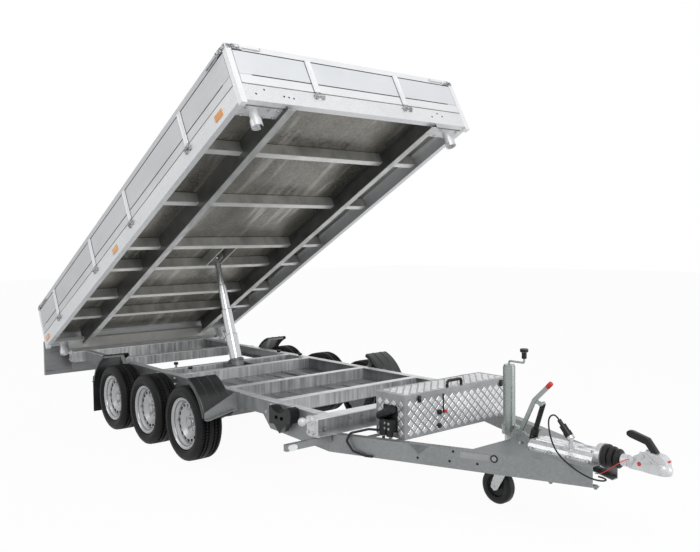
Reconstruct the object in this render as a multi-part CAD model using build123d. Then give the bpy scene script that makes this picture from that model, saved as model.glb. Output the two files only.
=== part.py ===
"""Three-axle tipping trailer, standing parked with its bed tipped and its tail board down.

Vehicle frame: +X forwards to the coupling, +Y to the left, +Z up, ground at Z = 0.
X is measured from the middle axle while modelling, and the finished pieces are moved
so that the origin lies under the middle of the whole length.
"""
import math
import os

from build123d import *

# Running gear
AXLE_PITCH = 614.0
TYRE_RADIUS = 266.0
TYRE_WIDTH = 195.0
TREAD_SHOULDER = 20.0
RIM_FLANGE_RADIUS = 183.0
RIM_SEAT_RADIUS = 166.0
RIM_WELL_RADIUS = 150.0
RIM_WIDTH = 156.0
RIM_WALL = 4.0
RIM_DISC_OFFSET = 36.0
RIM_HOLE_RADIUS = 9.0
RIM_HOLE_CIRCLE = 126.0
RIM_HOLE_COUNT = 16
HUB_CAP_RADIUS = 32.0
TYRE_OUTER_FACE = 922.0
DRUM_RADIUS = 122.0
DRUM_CLEARANCE = 8.0
RUNNING_GAP = 0.3
AXLE_TUBE = 80.0
AXLE_TUBE_AHEAD = 150.0
AXLE_TUBE_HEIGHT = 350.0
ARM_THICKNESS = 24.0
ARM_EYE_RADIUS = 46.0

# Chassis
RAIL_OUTER = 673.0
RAIL_WIDTH = 60.0
RAIL_BOTTOM = 412.0
RAIL_TOP = 512.0
SHEET = 5.0
BEAM_DEPTH = 100.0
FRONT_BEAM_TOP = 520.0
BEAM_HALF_LENGTH = 790.0
CROSS_DEPTH = 85.0
CROSS_WIDTH = 55.0
DRAWBAR_BOTTOM = 304.0
DRAWBAR_TAIL = 700.0
DRAWBAR_TAIL_SLANT = 82.0
DRAWBAR_TAIL_BOTTOM = 331.0
DRAWBAR_LAP = 60.0
DRAWBAR_LENGTH = 1395.0
DRAWBAR_WIDTH = 50.0
NOSE_OUTER = 115.0
GUSSET_PLACE = 437.0
GUSSET_WIDTH = 104.0
GUSSET_DEPTH = 50.0

# Tipping pivots: a ball at each corner of the chassis, in a cup under the bed
BALL_RADIUS = 25.0
BALL_SPAN = 855.0
BALL_HEIGHT = 506.0
BALL_BOSS_RADIUS = 29.0
BALL_BOSS_LENGTH = 18.0
BALL_NECK_RADIUS = 14.0
REAR_BALL_X = -1854.0
REAR_BALL_INSET = 46.0
FRONT_BALL_INSET = 41.0
FRONT_BALL_BACK = 50.0
PIVOT_PLATE = 6.0
PIVOT_PLATE_HALF = 34.0
CUP_CLEARANCE = 6.0
CUP_WALL = 7.0
CUP_BELOW_BALL = 16.0
CUP_CROWN = 8.0
CUP_STEM_RADIUS = 30.0

# Bed, in its own frame: l forwards from its rear edge, w to the left, h up from its lower edge
BED_LENGTH = 3995.0
BED_WIDTH = 1995.0
BED_FRAME_HEIGHT = 116.0
BED_FRAME_FLANGE = 45.0
FLOOR_THICKNESS = 3.0
BED_HEIGHT = 412.0
BOARD_THICKNESS = 30.0
BOARD_GAP = 5.0
BOARD_END_GAP = 5.0
POST_SIZE = 40.0
POST_BELOW = 20.0
PIVOT_L = 60.0
PIVOT_H = -96.0
TIP_ANGLE = 27.08
SUB_RAIL_INNER = 604.0
SUB_RAIL_WIDTH = 56.0
SUB_RAIL_BELOW = 30.0
BEARER_BOTTOM = 30.0
BEARER_WIDTH = 50.0
REAR_BED_BEAM_BOTTOM = -60.0
REAR_BED_BEAM_TOP = 50.0
BED_SHEET = 4.0

# Boards: hinge pins stand outside the frame, grooves run along the profile
HINGE_OUT = 10.5
HINGE_HEIGHT = 95.0
HINGE_RADIUS = 8.0
STRAP_WIDTH = 40.0
STRAP_THICKNESS = 6.0
STRAP_TOP = 369.0
STRAP_NECK = 24.0
LATCH_LENGTH = 200.0
LATCH_OUT = 16.0
KNUCKLE_LENGTH = 16.0
KNUCKLE_GAP = 0.3
GROOVE_TOP = 366.0
GROOVE_LOW = 190.0
GROOVE_WIDTH = 5.0
GROOVE_DEPTH = 4.0
TAIL_GAP = 6.0
TAIL_THICKNESS = 28.0
TAIL_BOTTOM = 85.0
TAIL_TOP = 408.0
TAIL_HINGE_H = 75.0
TAIL_HINGE_OUT = 24.0

# Telescopic cylinder: distances along its axis from the trunnion
TRUNNION_X = -114.0
TRUNNION_Z = 450.0
BALL_END_L = 1720.0
BALL_END_H = 66.0
BALL_END_RADIUS = 20.0
BARREL_RADIUS = 61.0
BARREL_BELOW = 130.0
BARREL_TOP = 101.0
STAGE_STROKE = 195.3
STAGE_KEPT = 18.0
STAGE_CLEARANCE = 0.6
ROD_NECK_RADIUS = 14.0

# Toolbox on the drawbar
BOX_BEHIND = 130.0
BOX_DEPTH = 240.0
BOX_HALF_WIDTH = 453.0
BOX_TOP = 660.0
BOX_SHEET = 3.0
BOX_BAR_WIDTH = 30.0
BOX_BAR_THICKNESS = 8.0
LID_GAP = 1.5
LID_SHEET = 2.0
LID_SKIRT = 25.0
LID_HINGE_RADIUS = 5.0

# Jack and jockey wheel
JACK_BACK = 655.0
JACK_Y = 60.0
JACK_RADIUS = 35.0
JACK_BOTTOM = 428.0
JACK_CLAMP_TOP = 480.0
JACK_TOP = 815.0
JACK_INNER_RADIUS = 26.0
JOCKEY_RADIUS = 105.0
JOCKEY_WIDTH = 64.0
JOCKEY_TRAIL = 80.0
FORK_TOP = 262.0
FORK_PLATE = 5.0
FORK_GAP = 6.0

# Coupling
SHANK_HEIGHT = 445.0
SHANK_RADIUS = 25.0
COUPLING_REACH = 351.0
HEAD_HALF = 34.0
BELLOWS_LENGTH = 93.0

# Mudguards over the outer wheels of each group of three
GUARD_RADIUS = 364.0
GUARD_THICKNESS = 4.0
GUARD_INNER = 700.0
GUARD_OUTER = 930.0
GUARD_LIP = 26.0
GUARD_EDGE = 9.0
GUARD_RIDGE = 3.0
GUARD_START = 20.0
GUARD_END = 74.0
FLAP_BOTTOM = 100.0
BRACKET_SHEET = 4.0
BRACKET_REACH = 928.0

# Lamps and their arms
LAMP_ARM_REACH = 996.0
LAMP_ARM_DEPTH = 28.0
LAMP_ARM_BOTTOM = 366.0
LAMP_ARM_TOP = 404.0
REAR_LAMP_INNER = 520.0
REAR_LAMP_OUTER = 770.0
REAR_LAMP_BOTTOM = 332.0
REAR_LAMP_TOP = 406.0
REAR_LAMP_DEPTH = 36.0

# Rubber-topped rest studs on the cross members
STUD_RADIUS = 9.0
STUD_CAP_RADIUS = 17.0
STUD_HEIGHT = 48.0

BED_FLOOR_TOP = BED_FRAME_HEIGHT + FLOOR_THICKNESS
BOARD_BOTTOM = BED_FLOOR_TOP + BOARD_GAP
BED_HALF = BED_WIDTH / 2
WHEEL_SPAN = TYRE_OUTER_FACE - TYRE_WIDTH / 2
FRONT_BALL_X = REAR_BALL_X + BED_LENGTH - 2 * PIVOT_L - FRONT_BALL_BACK
REAR_BEAM_REAR = REAR_BALL_X - REAR_BALL_INSET
REAR_BEAM_FRONT = REAR_BEAM_REAR + BEAM_DEPTH
FRONT_BEAM_REAR = FRONT_BALL_X - FRONT_BALL_INSET
FRONT_BEAM_FRONT = FRONT_BEAM_REAR + BEAM_DEPTH
DRAWBAR_BEND = FRONT_BEAM_REAR + DRAWBAR_LAP
NOSE_FRONT = DRAWBAR_BEND + DRAWBAR_LENGTH
BOX_REAR = FRONT_BEAM_FRONT + BOX_BEHIND
BOX_FRONT = BOX_REAR + BOX_DEPTH
JACK_X = NOSE_FRONT - JACK_BACK
COUPLING_TIP = NOSE_FRONT + COUPLING_REACH
# The origin lies under the middle between the coupling's tip and the rear posts' tops
REAR_POST_TOP = (REAR_BALL_X - PIVOT_L * math.cos(math.radians(TIP_ANGLE))
                 - (BED_HEIGHT - PIVOT_H) * math.sin(math.radians(TIP_ANGLE)))
ORIGIN_X = float(round((COUPLING_TIP + REAR_POST_TOP) / 2))
AXLES = (("front", AXLE_PITCH), ("middle", 0.0), ("rear", -AXLE_PITCH))
SIDES = (("left", 1), ("right", -1))

# Columns: name, rear edge l; the seat's bearers stand each side of the cylinder's ball
SEAT_REAR = BALL_END_L - 135.0
SEAT_FRONT = BALL_END_L + 250.0
LAST_BEARER = BED_LENGTH - 635.0
BEARERS = (("rear_1", 580.0), ("rear_2", 1010.0), ("seat_rear", SEAT_REAR),
           ("seat_front", SEAT_FRONT), ("front_1", (SEAT_FRONT + LAST_BEARER) / 2 + 15.0),
           ("front_2", LAST_BEARER))
# Columns: rear edge x of each inner chassis cross member
CROSS_MEMBERS = (-1150.0, TRUNNION_X - 161.0, TRUNNION_X + 131.0, FRONT_BEAM_REAR - 1177.0,
                 FRONT_BEAM_REAR - 570.0)
# Columns: outer radius, length along the axis that shows when the stage is out
STAGES = ((52.0, 217.0), (44.0, 219.0), (36.5, 220.0), (28.5, 196.0))
# Places of the straps along each board
SIDE_STRAPS = (505.0, 1500.0, BED_LENGTH - 1705.0, BED_LENGTH - 685.0)
END_STRAPS = (-390.0, 390.0)
TAIL_STRAPS = (-700.0, 0.0, 700.0)
# Rear edges of the side reflectors along the bed
REFLECTORS = (62.0, BED_LENGTH - 2115.0, BED_LENGTH - 305.0)
# Columns: place x and half spacing y of each pair of rest studs
STUDS = ((CROSS_MEMBERS[1] + CROSS_WIDTH / 2, 510.0), (CROSS_MEMBERS[2] + CROSS_WIDTH / 2, 535.0))

os.makedirs("parts", exist_ok=True)

PIVOT = Vector(REAR_BALL_X, 0, BALL_HEIGHT)
BED_PLACE = (Location(PIVOT) * Location((0, 0, 0), (0, -TIP_ANGLE, 0))
             * Location((-PIVOT_L, 0, -PIVOT_H)))


def slab(x0, x1, y0, y1, z0, z1):
    """A block between two corners."""
    size = (abs(x1 - x0), abs(y1 - y0), abs(z1 - z0))
    return Pos((x0 + x1) / 2, (y0 + y1) / 2, (z0 + z1) / 2) * Box(*size)


def rod(start, end, radius):
    """A round bar between two points."""
    a, b = Vector(start), Vector(end)
    plane = Plane(origin=a, z_dir=b - a)
    return extrude(plane * Circle(radius), (b - a).length)


def bent_rod(points, bend, radius):
    """A round bar along straight runs with one bend radius."""
    path = FilletPolyline(*points, radius=bend)
    start = Plane(origin=path @ 0, z_dir=path % 0)
    return sweep(start * Circle(radius), path=path)


def prism_y(outline, y0, y1):
    """An outline in X and Z, pulled from y0 to y1."""
    face = make_face(Polyline(*[(x, y0, z) for x, z in outline], close=True))
    return extrude(face, y1 - y0, dir=(0, 1, 0))


def prism_x(outline, x0, x1):
    """An outline in Y and Z, pulled from x0 to x1."""
    face = make_face(Polyline(*[(x0, y, z) for y, z in outline], close=True))
    return extrude(face, x1 - x0, dir=(1, 0, 0))


def prism_z(outline, z0, z1):
    """An outline in X and Y, pulled from z0 to z1."""
    face = make_face(Polyline(*[(x, y, z0) for x, y in outline], close=True))
    return extrude(face, z1 - z0, dir=(0, 0, 1))


def channel(width, height, sheet):
    """C section outline: web at 0, flanges towards +width, height from 0."""
    return [(0, 0), (width, 0), (width, sheet), (sheet, sheet),
            (sheet, height - sheet), (width, height - sheet), (width, height), (0, height)]


def mirrored(solids):
    """The solids and their mirror images on the other side."""
    return list(solids) + [mirror(s, about=Plane.XZ) for s in solids]


def flat_list(shapes):
    """Every separate solid of a list of shapes."""
    found = []
    for shape in shapes:
        found.extend(shape.solids())
    return found


def save(name, *shapes):
    """Write one named piece, moved to the origin of the finished model."""
    moved = [Pos(-ORIGIN_X, 0, 0) * s for s in flat_list(shapes)]
    export_step(Compound(children=moved) if len(moved) > 1 else moved[0], f"parts/{name}.step")


def tyre():
    """Tyre about the Y axis, with rounded shoulders and bulged sidewalls."""
    half, seat = TYRE_WIDTH / 2, RIM_WIDTH / 2 - 10
    bead = RIM_FLANGE_RADIUS + 1.5
    belly = (bead + TYRE_RADIUS - TREAD_SHOULDER) / 2
    with BuildSketch(Plane.XY) as section:
        with BuildLine():
            Line((RIM_SEAT_RADIUS + 2, -seat), (RIM_SEAT_RADIUS + 2, seat))
            Line((RIM_SEAT_RADIUS + 2, seat), (bead, seat))
            ThreePointArc((bead, seat), (belly, half), (TYRE_RADIUS - TREAD_SHOULDER, half - 8))
            ThreePointArc((TYRE_RADIUS - TREAD_SHOULDER, half - 8),
                          (TYRE_RADIUS - 5, half - 15), (TYRE_RADIUS, half - TREAD_SHOULDER - 10))
            Line((TYRE_RADIUS, half - TREAD_SHOULDER - 10), (TYRE_RADIUS, -half + TREAD_SHOULDER + 10))
            ThreePointArc((TYRE_RADIUS, -half + TREAD_SHOULDER + 10),
                          (TYRE_RADIUS - 5, -half + 15), (TYRE_RADIUS - TREAD_SHOULDER, -half + 8))
            ThreePointArc((TYRE_RADIUS - TREAD_SHOULDER, -half + 8), (belly, -half), (bead, -seat))
            Line((bead, -seat), (RIM_SEAT_RADIUS + 2, -seat))
        make_face()
    return revolve(section.sketch, Axis.Y, 360)


def rim():
    """Steel rim about the Y axis, outer face towards +Y, with a ring of holes."""
    half = RIM_WIDTH / 2
    lip, seat, well, wall = RIM_FLANGE_RADIUS, RIM_SEAT_RADIUS, RIM_WELL_RADIUS, RIM_WALL
    disc = RIM_DISC_OFFSET
    outline = [(lip, half), (lip, half - 5), (seat, half - 9), (seat - 1, 54), (well, 42),
               (well, -22), (seat - 1, -44), (seat, -half + 9), (lip, -half + 5), (lip, -half),
               (lip - wall, -half), (seat - wall, -half + 14), (seat - wall, -42),
               (well - wall, -24), (well - wall, disc - 8), (RIM_HOLE_CIRCLE + 12, disc - 2),
               (RIM_HOLE_CIRCLE - 12, disc - 2), (84, disc - 24), (HUB_CAP_RADIUS, disc - 24),
               (HUB_CAP_RADIUS, disc - 30), (0, disc - 30), (0, disc + 4), (HUB_CAP_RADIUS - 8, disc + 4),
               (HUB_CAP_RADIUS, disc - 2), (HUB_CAP_RADIUS, disc - 18), (82, disc - 18),
               (RIM_HOLE_CIRCLE - 14, disc + 4), (RIM_HOLE_CIRCLE + 14, disc + 4),
               (well - wall, disc), (well - wall, 40), (seat - wall, 56), (seat - wall, half - 14),
               (lip - wall, half)]
    body = revolve(make_face(Polyline(*outline, close=True)), Axis.Y, 360)
    for i in range(RIM_HOLE_COUNT):
        turn = Rot(0, 360 * i / RIM_HOLE_COUNT, 0)
        body -= turn * rod((RIM_HOLE_CIRCLE, disc - 20, 0), (RIM_HOLE_CIRCLE, disc + 20, 0), RIM_HOLE_RADIUS)
    return body


def save_wheels():
    """Six tyres and rims, one pair of nodes for each wheel."""
    tyre_solid, rim_solid = tyre(), rim()
    for axle, x in AXLES:
        for side, sign in SIDES:
            outwards = Rot(0, 0, 0 if sign > 0 else 180)
            place = Pos(x, sign * WHEEL_SPAN, TYRE_RADIUS) * outwards
            save(f"tyre_{axle}_{side}", place * tyre_solid)
            save(f"rim_{axle}_{side}", place * rim_solid)


def axle(x):
    """Rubber-sprung axle: tube, trailing arms and drums in one, and the two mounting pads on it."""
    tube_x = x + AXLE_TUBE_AHEAD
    arm_in = RAIL_OUTER - 20
    arm_out = arm_in + ARM_THICKNESS
    half = AXLE_TUBE / 2
    body = slab(tube_x - half, tube_x + half, -arm_in, arm_in,
                AXLE_TUBE_HEIGHT - half, AXLE_TUBE_HEIGHT + half)
    pads = []
    drum_out = WHEEL_SPAN + RIM_DISC_OFFSET - 30 - DRUM_CLEARANCE
    for sign in (1, -1):
        way = Vector(tube_x - x, 0, AXLE_TUBE_HEIGHT - TYRE_RADIUS).normalized()
        across = Vector(-way.Z, 0, way.X)
        tube_end, hub_end = Vector(tube_x, 0, AXLE_TUBE_HEIGHT), Vector(x, 0, TYRE_RADIUS)
        web = [tube_end + across * ARM_EYE_RADIUS, hub_end + across * 33, hub_end - across * 33,
               tube_end - across * ARM_EYE_RADIUS]
        y0 = sign * arm_in
        y1 = sign * arm_out
        arm_solid = prism_y([(v.X, v.Z) for v in web], y0, y1)
        arm_solid += rod((tube_x, y0, AXLE_TUBE_HEIGHT), (tube_x, y1, AXLE_TUBE_HEIGHT), ARM_EYE_RADIUS)
        arm_solid += rod((x, y0, TYRE_RADIUS), (x, y1, TYRE_RADIUS), 33)
        body += arm_solid
        body += rod((x, sign * (arm_out - 2), TYRE_RADIUS), (x, sign * (arm_out + 14), TYRE_RADIUS), 34)
        body += rod((x, sign * (arm_out + 12), TYRE_RADIUS), (x, sign * (arm_out + 22), TYRE_RADIUS),
                    DRUM_RADIUS + 6)
        body += rod((x, sign * (arm_out + 21), TYRE_RADIUS), (x, sign * drum_out, TYRE_RADIUS), DRUM_RADIUS)
        hub_face = drum_out + DRUM_CLEARANCE - RUNNING_GAP
        body += rod((x, sign * (drum_out - 1), TYRE_RADIUS), (x, sign * hub_face, TYRE_RADIUS),
                    HUB_CAP_RADIUS)
        pad_y = sign * (RAIL_OUTER - RAIL_WIDTH / 2)
        pad = slab(tube_x - 60, tube_x + 60, pad_y - 30, pad_y + 30, AXLE_TUBE_HEIGHT + half, RAIL_BOTTOM)
        pad -= rod((tube_x, y0, AXLE_TUBE_HEIGHT), (tube_x, y1, AXLE_TUBE_HEIGHT), ARM_EYE_RADIUS + RUNNING_GAP)
        pads.append(pad)
    return [body, *pads]


def side_rails():
    """Two C rails with their flat web outside and flanges turned in."""
    outline = [(RAIL_OUTER - a, RAIL_BOTTOM + b)
               for a, b in channel(RAIL_WIDTH, RAIL_TOP - RAIL_BOTTOM, SHEET)]
    return mirrored([prism_x(outline, REAR_BEAM_FRONT, FRONT_BEAM_REAR)])


def cross_members():
    """End beams, open C sections with closed ends, and C cross members between the rails."""
    parts = []
    for rear, way, top in ((REAR_BEAM_REAR, -1, RAIL_TOP), (FRONT_BEAM_REAR, 1, FRONT_BEAM_TOP)):
        beam = slab(rear, rear + BEAM_DEPTH, -BEAM_HALF_LENGTH, BEAM_HALF_LENGTH, RAIL_BOTTOM, top)
        inside = BEAM_HALF_LENGTH - SHEET
        beam -= slab(rear + way * SHEET, rear + BEAM_DEPTH + way * SHEET, -inside, inside,
                     RAIL_BOTTOM + SHEET, top - SHEET)
        parts.append(beam)
    inner = RAIL_OUTER - RAIL_WIDTH
    for rear in CROSS_MEMBERS:
        outline = [(rear + CROSS_WIDTH - a, RAIL_TOP - CROSS_DEPTH + b)
                   for a, b in channel(CROSS_WIDTH, CROSS_DEPTH, SHEET)]
        parts.append(prism_y(outline, -inner, inner))
    return parts


def ball_pivots():
    """Balls on bosses with round-ended plates at the ends of both end beams."""
    parts = []
    end = BEAM_HALF_LENGTH
    foot = RAIL_BOTTOM + PIVOT_PLATE_HALF
    for x in (REAR_BALL_X, FRONT_BALL_X):
        boss_end = end + BALL_BOSS_LENGTH
        pivot = slab(x - PIVOT_PLATE_HALF, x + PIVOT_PLATE_HALF, end, end + PIVOT_PLATE, foot, BALL_HEIGHT)
        pivot += rod((x, end, foot), (x, end + PIVOT_PLATE, foot), PIVOT_PLATE_HALF)
        pivot += rod((x, end, BALL_HEIGHT), (x, boss_end, BALL_HEIGHT), BALL_BOSS_RADIUS)
        pivot += rod((x, boss_end - 1, BALL_HEIGHT), (x, BALL_SPAN, BALL_HEIGHT), BALL_NECK_RADIUS)
        pivot += Pos(x, BALL_SPAN, BALL_HEIGHT) * Sphere(BALL_RADIUS)
        parts.append(pivot)
    return mirrored(parts)


def drawbar_beams():
    """V beams, lapped under each rail, bent, then straight to the nose, with the toolbox's bars."""
    top = RAIL_BOTTOM
    inner = RAIL_OUTER - DRAWBAR_WIDTH
    start = DRAWBAR_BEND - DRAWBAR_TAIL
    slant = start + DRAWBAR_TAIL_SLANT
    tail = prism_y([(start, top), (slant, DRAWBAR_TAIL_BOTTOM), (DRAWBAR_BEND, DRAWBAR_BOTTOM),
                    (DRAWBAR_BEND, top)], inner, RAIL_OUTER)
    tail -= prism_y([(start + 20, top - SHEET), (slant + 6, DRAWBAR_TAIL_BOTTOM + SHEET),
                     (DRAWBAR_BEND - SHEET, DRAWBAR_BOTTOM + SHEET), (DRAWBAR_BEND - SHEET, top - SHEET)],
                    inner - 1, RAIL_OUTER - SHEET)
    run = prism_z([(DRAWBAR_BEND, RAIL_OUTER), (NOSE_FRONT, NOSE_OUTER),
                   (NOSE_FRONT, NOSE_OUTER - DRAWBAR_WIDTH), (DRAWBAR_BEND, inner)],
                  DRAWBAR_BOTTOM, top)
    pocket = prism_z([(DRAWBAR_BEND + SHEET, inner - 1), (NOSE_FRONT + 1, NOSE_OUTER - DRAWBAR_WIDTH - 1),
                      (NOSE_FRONT + 1, NOSE_OUTER - SHEET), (DRAWBAR_BEND + SHEET, RAIL_OUTER - SHEET)],
                     DRAWBAR_BOTTOM + SHEET, top - SHEET)
    rear = DRAWBAR_BEND + GUSSET_PLACE + 40.0
    corners = ((rear, top), (rear + GUSSET_WIDTH, top), (rear + GUSSET_WIDTH / 2, top - GUSSET_DEPTH))
    face = make_face(Polyline(*[(x, drawbar_y(x), z) for x, z in corners], close=True))
    out = Vector(RAIL_OUTER - NOSE_OUTER, DRAWBAR_LENGTH, 0).normalized()
    gusset = extrude(face, SHEET, dir=(out.X, out.Y, 0))
    beams = flat_list(mirrored([tail + (run - pocket) + gusset]))
    joined = beams[0] + beams[1]
    for rear in (BOX_REAR + 20, BOX_FRONT - 20 - BOX_BAR_WIDTH):
        y0, y1 = drawbar_y(rear, False) + 1, drawbar_y(rear + BOX_BAR_WIDTH, False) + 1
        bar = [(rear, -y0), (rear, y0), (rear + BOX_BAR_WIDTH, y1), (rear + BOX_BAR_WIDTH, -y1)]
        joined += prism_z(bar, top - BOX_BAR_THICKNESS, top)
    return [joined]


def drawbar_y(x, outer=True):
    """Half width of the drawbar's outer or inner face at a place along it."""
    share = (x - DRAWBAR_BEND) / (NOSE_FRONT - DRAWBAR_BEND)
    y = RAIL_OUTER + share * (NOSE_OUTER - RAIL_OUTER)
    return y if outer else y - DRAWBAR_WIDTH


def nose_plate():
    """Plate between the beams that carries the jack's bracket, the lever and the overrun unit."""
    rear, front = JACK_X + JACK_RADIUS + 12, NOSE_FRONT
    outline = [(rear, drawbar_y(rear, False)), (front, drawbar_y(front, False)),
               (front, -drawbar_y(front, False)), (rear, -drawbar_y(rear, False))]
    return prism_z(outline, RAIL_BOTTOM - SHEET - 3, RAIL_BOTTOM)


def overrun_housing():
    """Cover with three long ribs over the overrun tube, and its round front collar."""
    rear, front = JACK_X + 235.0, NOSE_FRONT - 30.0
    half, rise = 78.0, 46.0
    base = RAIL_BOTTOM
    outline = [(-half, base), (-half, base + 12), (-half + 7, base + 30), (-half + 20, base + rise - 3),
               (-half + 30, base + rise), (half - 30, base + rise), (half - 20, base + rise - 3),
               (half - 7, base + 30), (half, base + 12), (half, base)]
    cover = prism_x(outline, rear, front)
    for y in (-38.0, 0.0, 38.0):
        rib = prism_x([(y - 10, base + rise - 1), (y - 6, base + rise + 7), (y + 6, base + rise + 7),
                       (y + 10, base + rise - 1)], rear + 30, front - 25)
        cover += rib
    for y in (-half - 18, half - 2):
        cover += slab(rear + 20, front - 10, y, y + 20, base, base + 5)
    cover += rod((front - 1, 0, SHANK_HEIGHT), (NOSE_FRONT, 0, SHANK_HEIGHT), 58)
    return cover - slab(front - 2, NOSE_FRONT + 2, -80, 80, base - 60, base)


def bellows():
    """Rubber bellows with three broad folds."""
    start, folds = NOSE_FRONT, 3
    end = start + BELLOWS_LENGTH
    pitch = BELLOWS_LENGTH / folds
    points = [(start, SHANK_RADIUS + 1)]
    for i in range(folds):
        crest = 61 - 6 * i
        x = start + i * pitch
        points += [(x, crest - 12), (x + pitch * 0.2, crest - 2), (x + pitch * 0.4, crest),
                   (x + pitch * 0.65, crest - 1), (x + pitch * 0.9, crest - 9)]
    points.append((end, SHANK_RADIUS + 1))
    face = make_face(Polyline(*[(x, 0, r + SHANK_HEIGHT) for x, r in points], close=True))
    return revolve(face, Axis((0, 0, SHANK_HEIGHT), (1, 0, 0)), 360)


def coupling_head():
    """Shank tube, pressed head with its ball cup and cheeks, and the release lever."""
    nose, mid = NOSE_FRONT, SHANK_HEIGHT
    ball_x = COUPLING_TIP - 42
    shank = rod((nose + 1, 0, mid), (nose + 175, 0, mid), SHANK_RADIUS)
    shank += rod((nose + 96, 0, mid), (nose + 130, 0, mid), SHANK_RADIUS + 5)
    block = prism_z([(nose + 143, 28), (nose + 215, 33), (nose + 265, 43), (ball_x, 43), (ball_x, -43),
                     (nose + 265, -43), (nose + 215, -33), (nose + 143, -28)], mid - 26, mid + 20)
    crown = prism_y([(nose + 150, mid - 10), (nose + 168, mid + 38), (nose + 215, mid + 64),
                     (nose + 262, mid + 68), (nose + 312, mid + 60), (nose + 334, mid + 40),
                     (nose + 338, mid - 10)], -26, 26)
    cheeks = [prism_y([(nose + 160, mid - 26), (nose + 206, mid + 67), (nose + 224, mid + 69),
                       (nose + 318, mid + 4), (nose + 318, mid - 26)], y, y + 7)
              for y in (-HEAD_HALF, HEAD_HALF - 7)]
    cup = Pos(ball_x, 0, mid - 8) * Sphere(42)
    cup &= slab(ball_x - 60, ball_x + 60, -60, 60, mid - 28, mid + 60)
    eye = slab(nose + 160, nose + 178, -50, -30, 457, 471)
    head = block + crown + cheeks[0] + cheeks[1] + cup + shank + eye
    head -= Pos(ball_x, 0, mid - 12) * Sphere(BALL_RADIUS)
    head -= rod((ball_x, 0, mid - 60), (ball_x, 0, mid - 12), BALL_RADIUS)
    lever = prism_y([(nose + 276, mid + 60), (nose + 254, mid + 60), (nose + 222, mid + 102),
                     (nose + 140, mid + 122), (nose + 124, mid + 130), (nose + 122, mid + 144),
                     (nose + 134, mid + 154), (nose + 152, mid + 153), (nose + 236, mid + 131),
                     (nose + 284, mid + 70)], -13, 13)
    return head + lever


def brake_lever():
    """Flat handbrake lever on its toothed quadrant, with the gas strut beside it."""
    foot, base = JACK_X + 120.0, RAIL_BOTTOM
    quadrant = prism_y([(foot - 50, base), (foot - 50, base + 40), (foot - 20, base + 76),
                        (foot + 24, base + 76), (foot + 85, base + 30), (foot + 85, base)], -18, -12)
    quadrant += slab(foot - 50, foot + 95, -18, 46, base, base + 6)
    bar = prism_y([(foot - 10, base + 49), (foot + 92, base + 256), (foot + 186, base + 346),
                   (foot + 202, base + 329), (foot + 112, base + 243), (foot + 10, base + 39)], -7, 5)
    grip = rod((foot + 184, -1, base + 329), (foot + 210, -1, base + 354), 12)
    hub = rod((foot, -20, base + 44), (foot, 14, base + 44), 18)
    strut = rod((foot + 66, 24, base + 8), (foot + 140, 24, base + 228), 13)
    strut += rod((foot + 132, 24, base + 204), (foot + 144, 24, base + 240), 7)
    boot = rod((foot + 64, 24, base + 4), (foot + 79, 24, base + 50), 21)
    boot -= slab(foot, foot + 150, -40, 80, base - 40, base)
    eye = rod((foot + 140, 32, base + 232), (foot + 140, -6, base + 232), 11)
    link = prism_y([(foot + 84, base + 240), (foot + 148, base + 222), (foot + 150, base + 242),
                    (foot + 100, base + 262)], -4, 2)
    return quadrant + bar + grip + hub + strut + boot + eye + link


def jack():
    """Outer tube with its clamp and bracket, top cap and cranked handle."""
    tube = rod((JACK_X, JACK_Y, JACK_BOTTOM), (JACK_X, JACK_Y, JACK_TOP), JACK_RADIUS)
    tube += rod((JACK_X, JACK_Y, JACK_TOP - 1), (JACK_X, JACK_Y, JACK_TOP + 10), JACK_RADIUS - 4)
    tube += rod((JACK_X, JACK_Y, JACK_BOTTOM), (JACK_X, JACK_Y, JACK_CLAMP_TOP), JACK_RADIUS + 7)
    tube += slab(JACK_X, JACK_X + JACK_RADIUS + 24, JACK_Y - 9, JACK_Y + 9, RAIL_BOTTOM + 20, JACK_CLAMP_TOP)
    tube -= rod((JACK_X, JACK_Y, JACK_BOTTOM - 1), (JACK_X, JACK_Y, JACK_TOP - 40), JACK_INNER_RADIUS + 1)
    bracket = prism_y([(JACK_X + JACK_RADIUS + 14, RAIL_BOTTOM), (JACK_X + JACK_RADIUS + 14, JACK_CLAMP_TOP),
                       (JACK_X + JACK_RADIUS + 34, JACK_CLAMP_TOP), (JACK_X + JACK_RADIUS + 74, RAIL_BOTTOM + 12),
                       (JACK_X + JACK_RADIUS + 74, RAIL_BOTTOM)], JACK_Y - 14, JACK_Y + 14)
    crank = bent_rod([(JACK_X, JACK_Y, JACK_TOP + 9), (JACK_X, JACK_Y, JACK_TOP + 30),
                      (JACK_X + 106, JACK_Y, JACK_TOP + 30), (JACK_X + 106, JACK_Y, JACK_TOP + 78)], 10, 6)
    knob = rod((JACK_X + 106, JACK_Y, JACK_TOP + 56), (JACK_X + 106, JACK_Y, JACK_TOP + 92), 13)
    knob += rod((JACK_X + 106, JACK_Y, JACK_TOP + 91), (JACK_X + 106, JACK_Y, JACK_TOP + 110), 22)
    return tube + bracket + crank + knob


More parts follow.
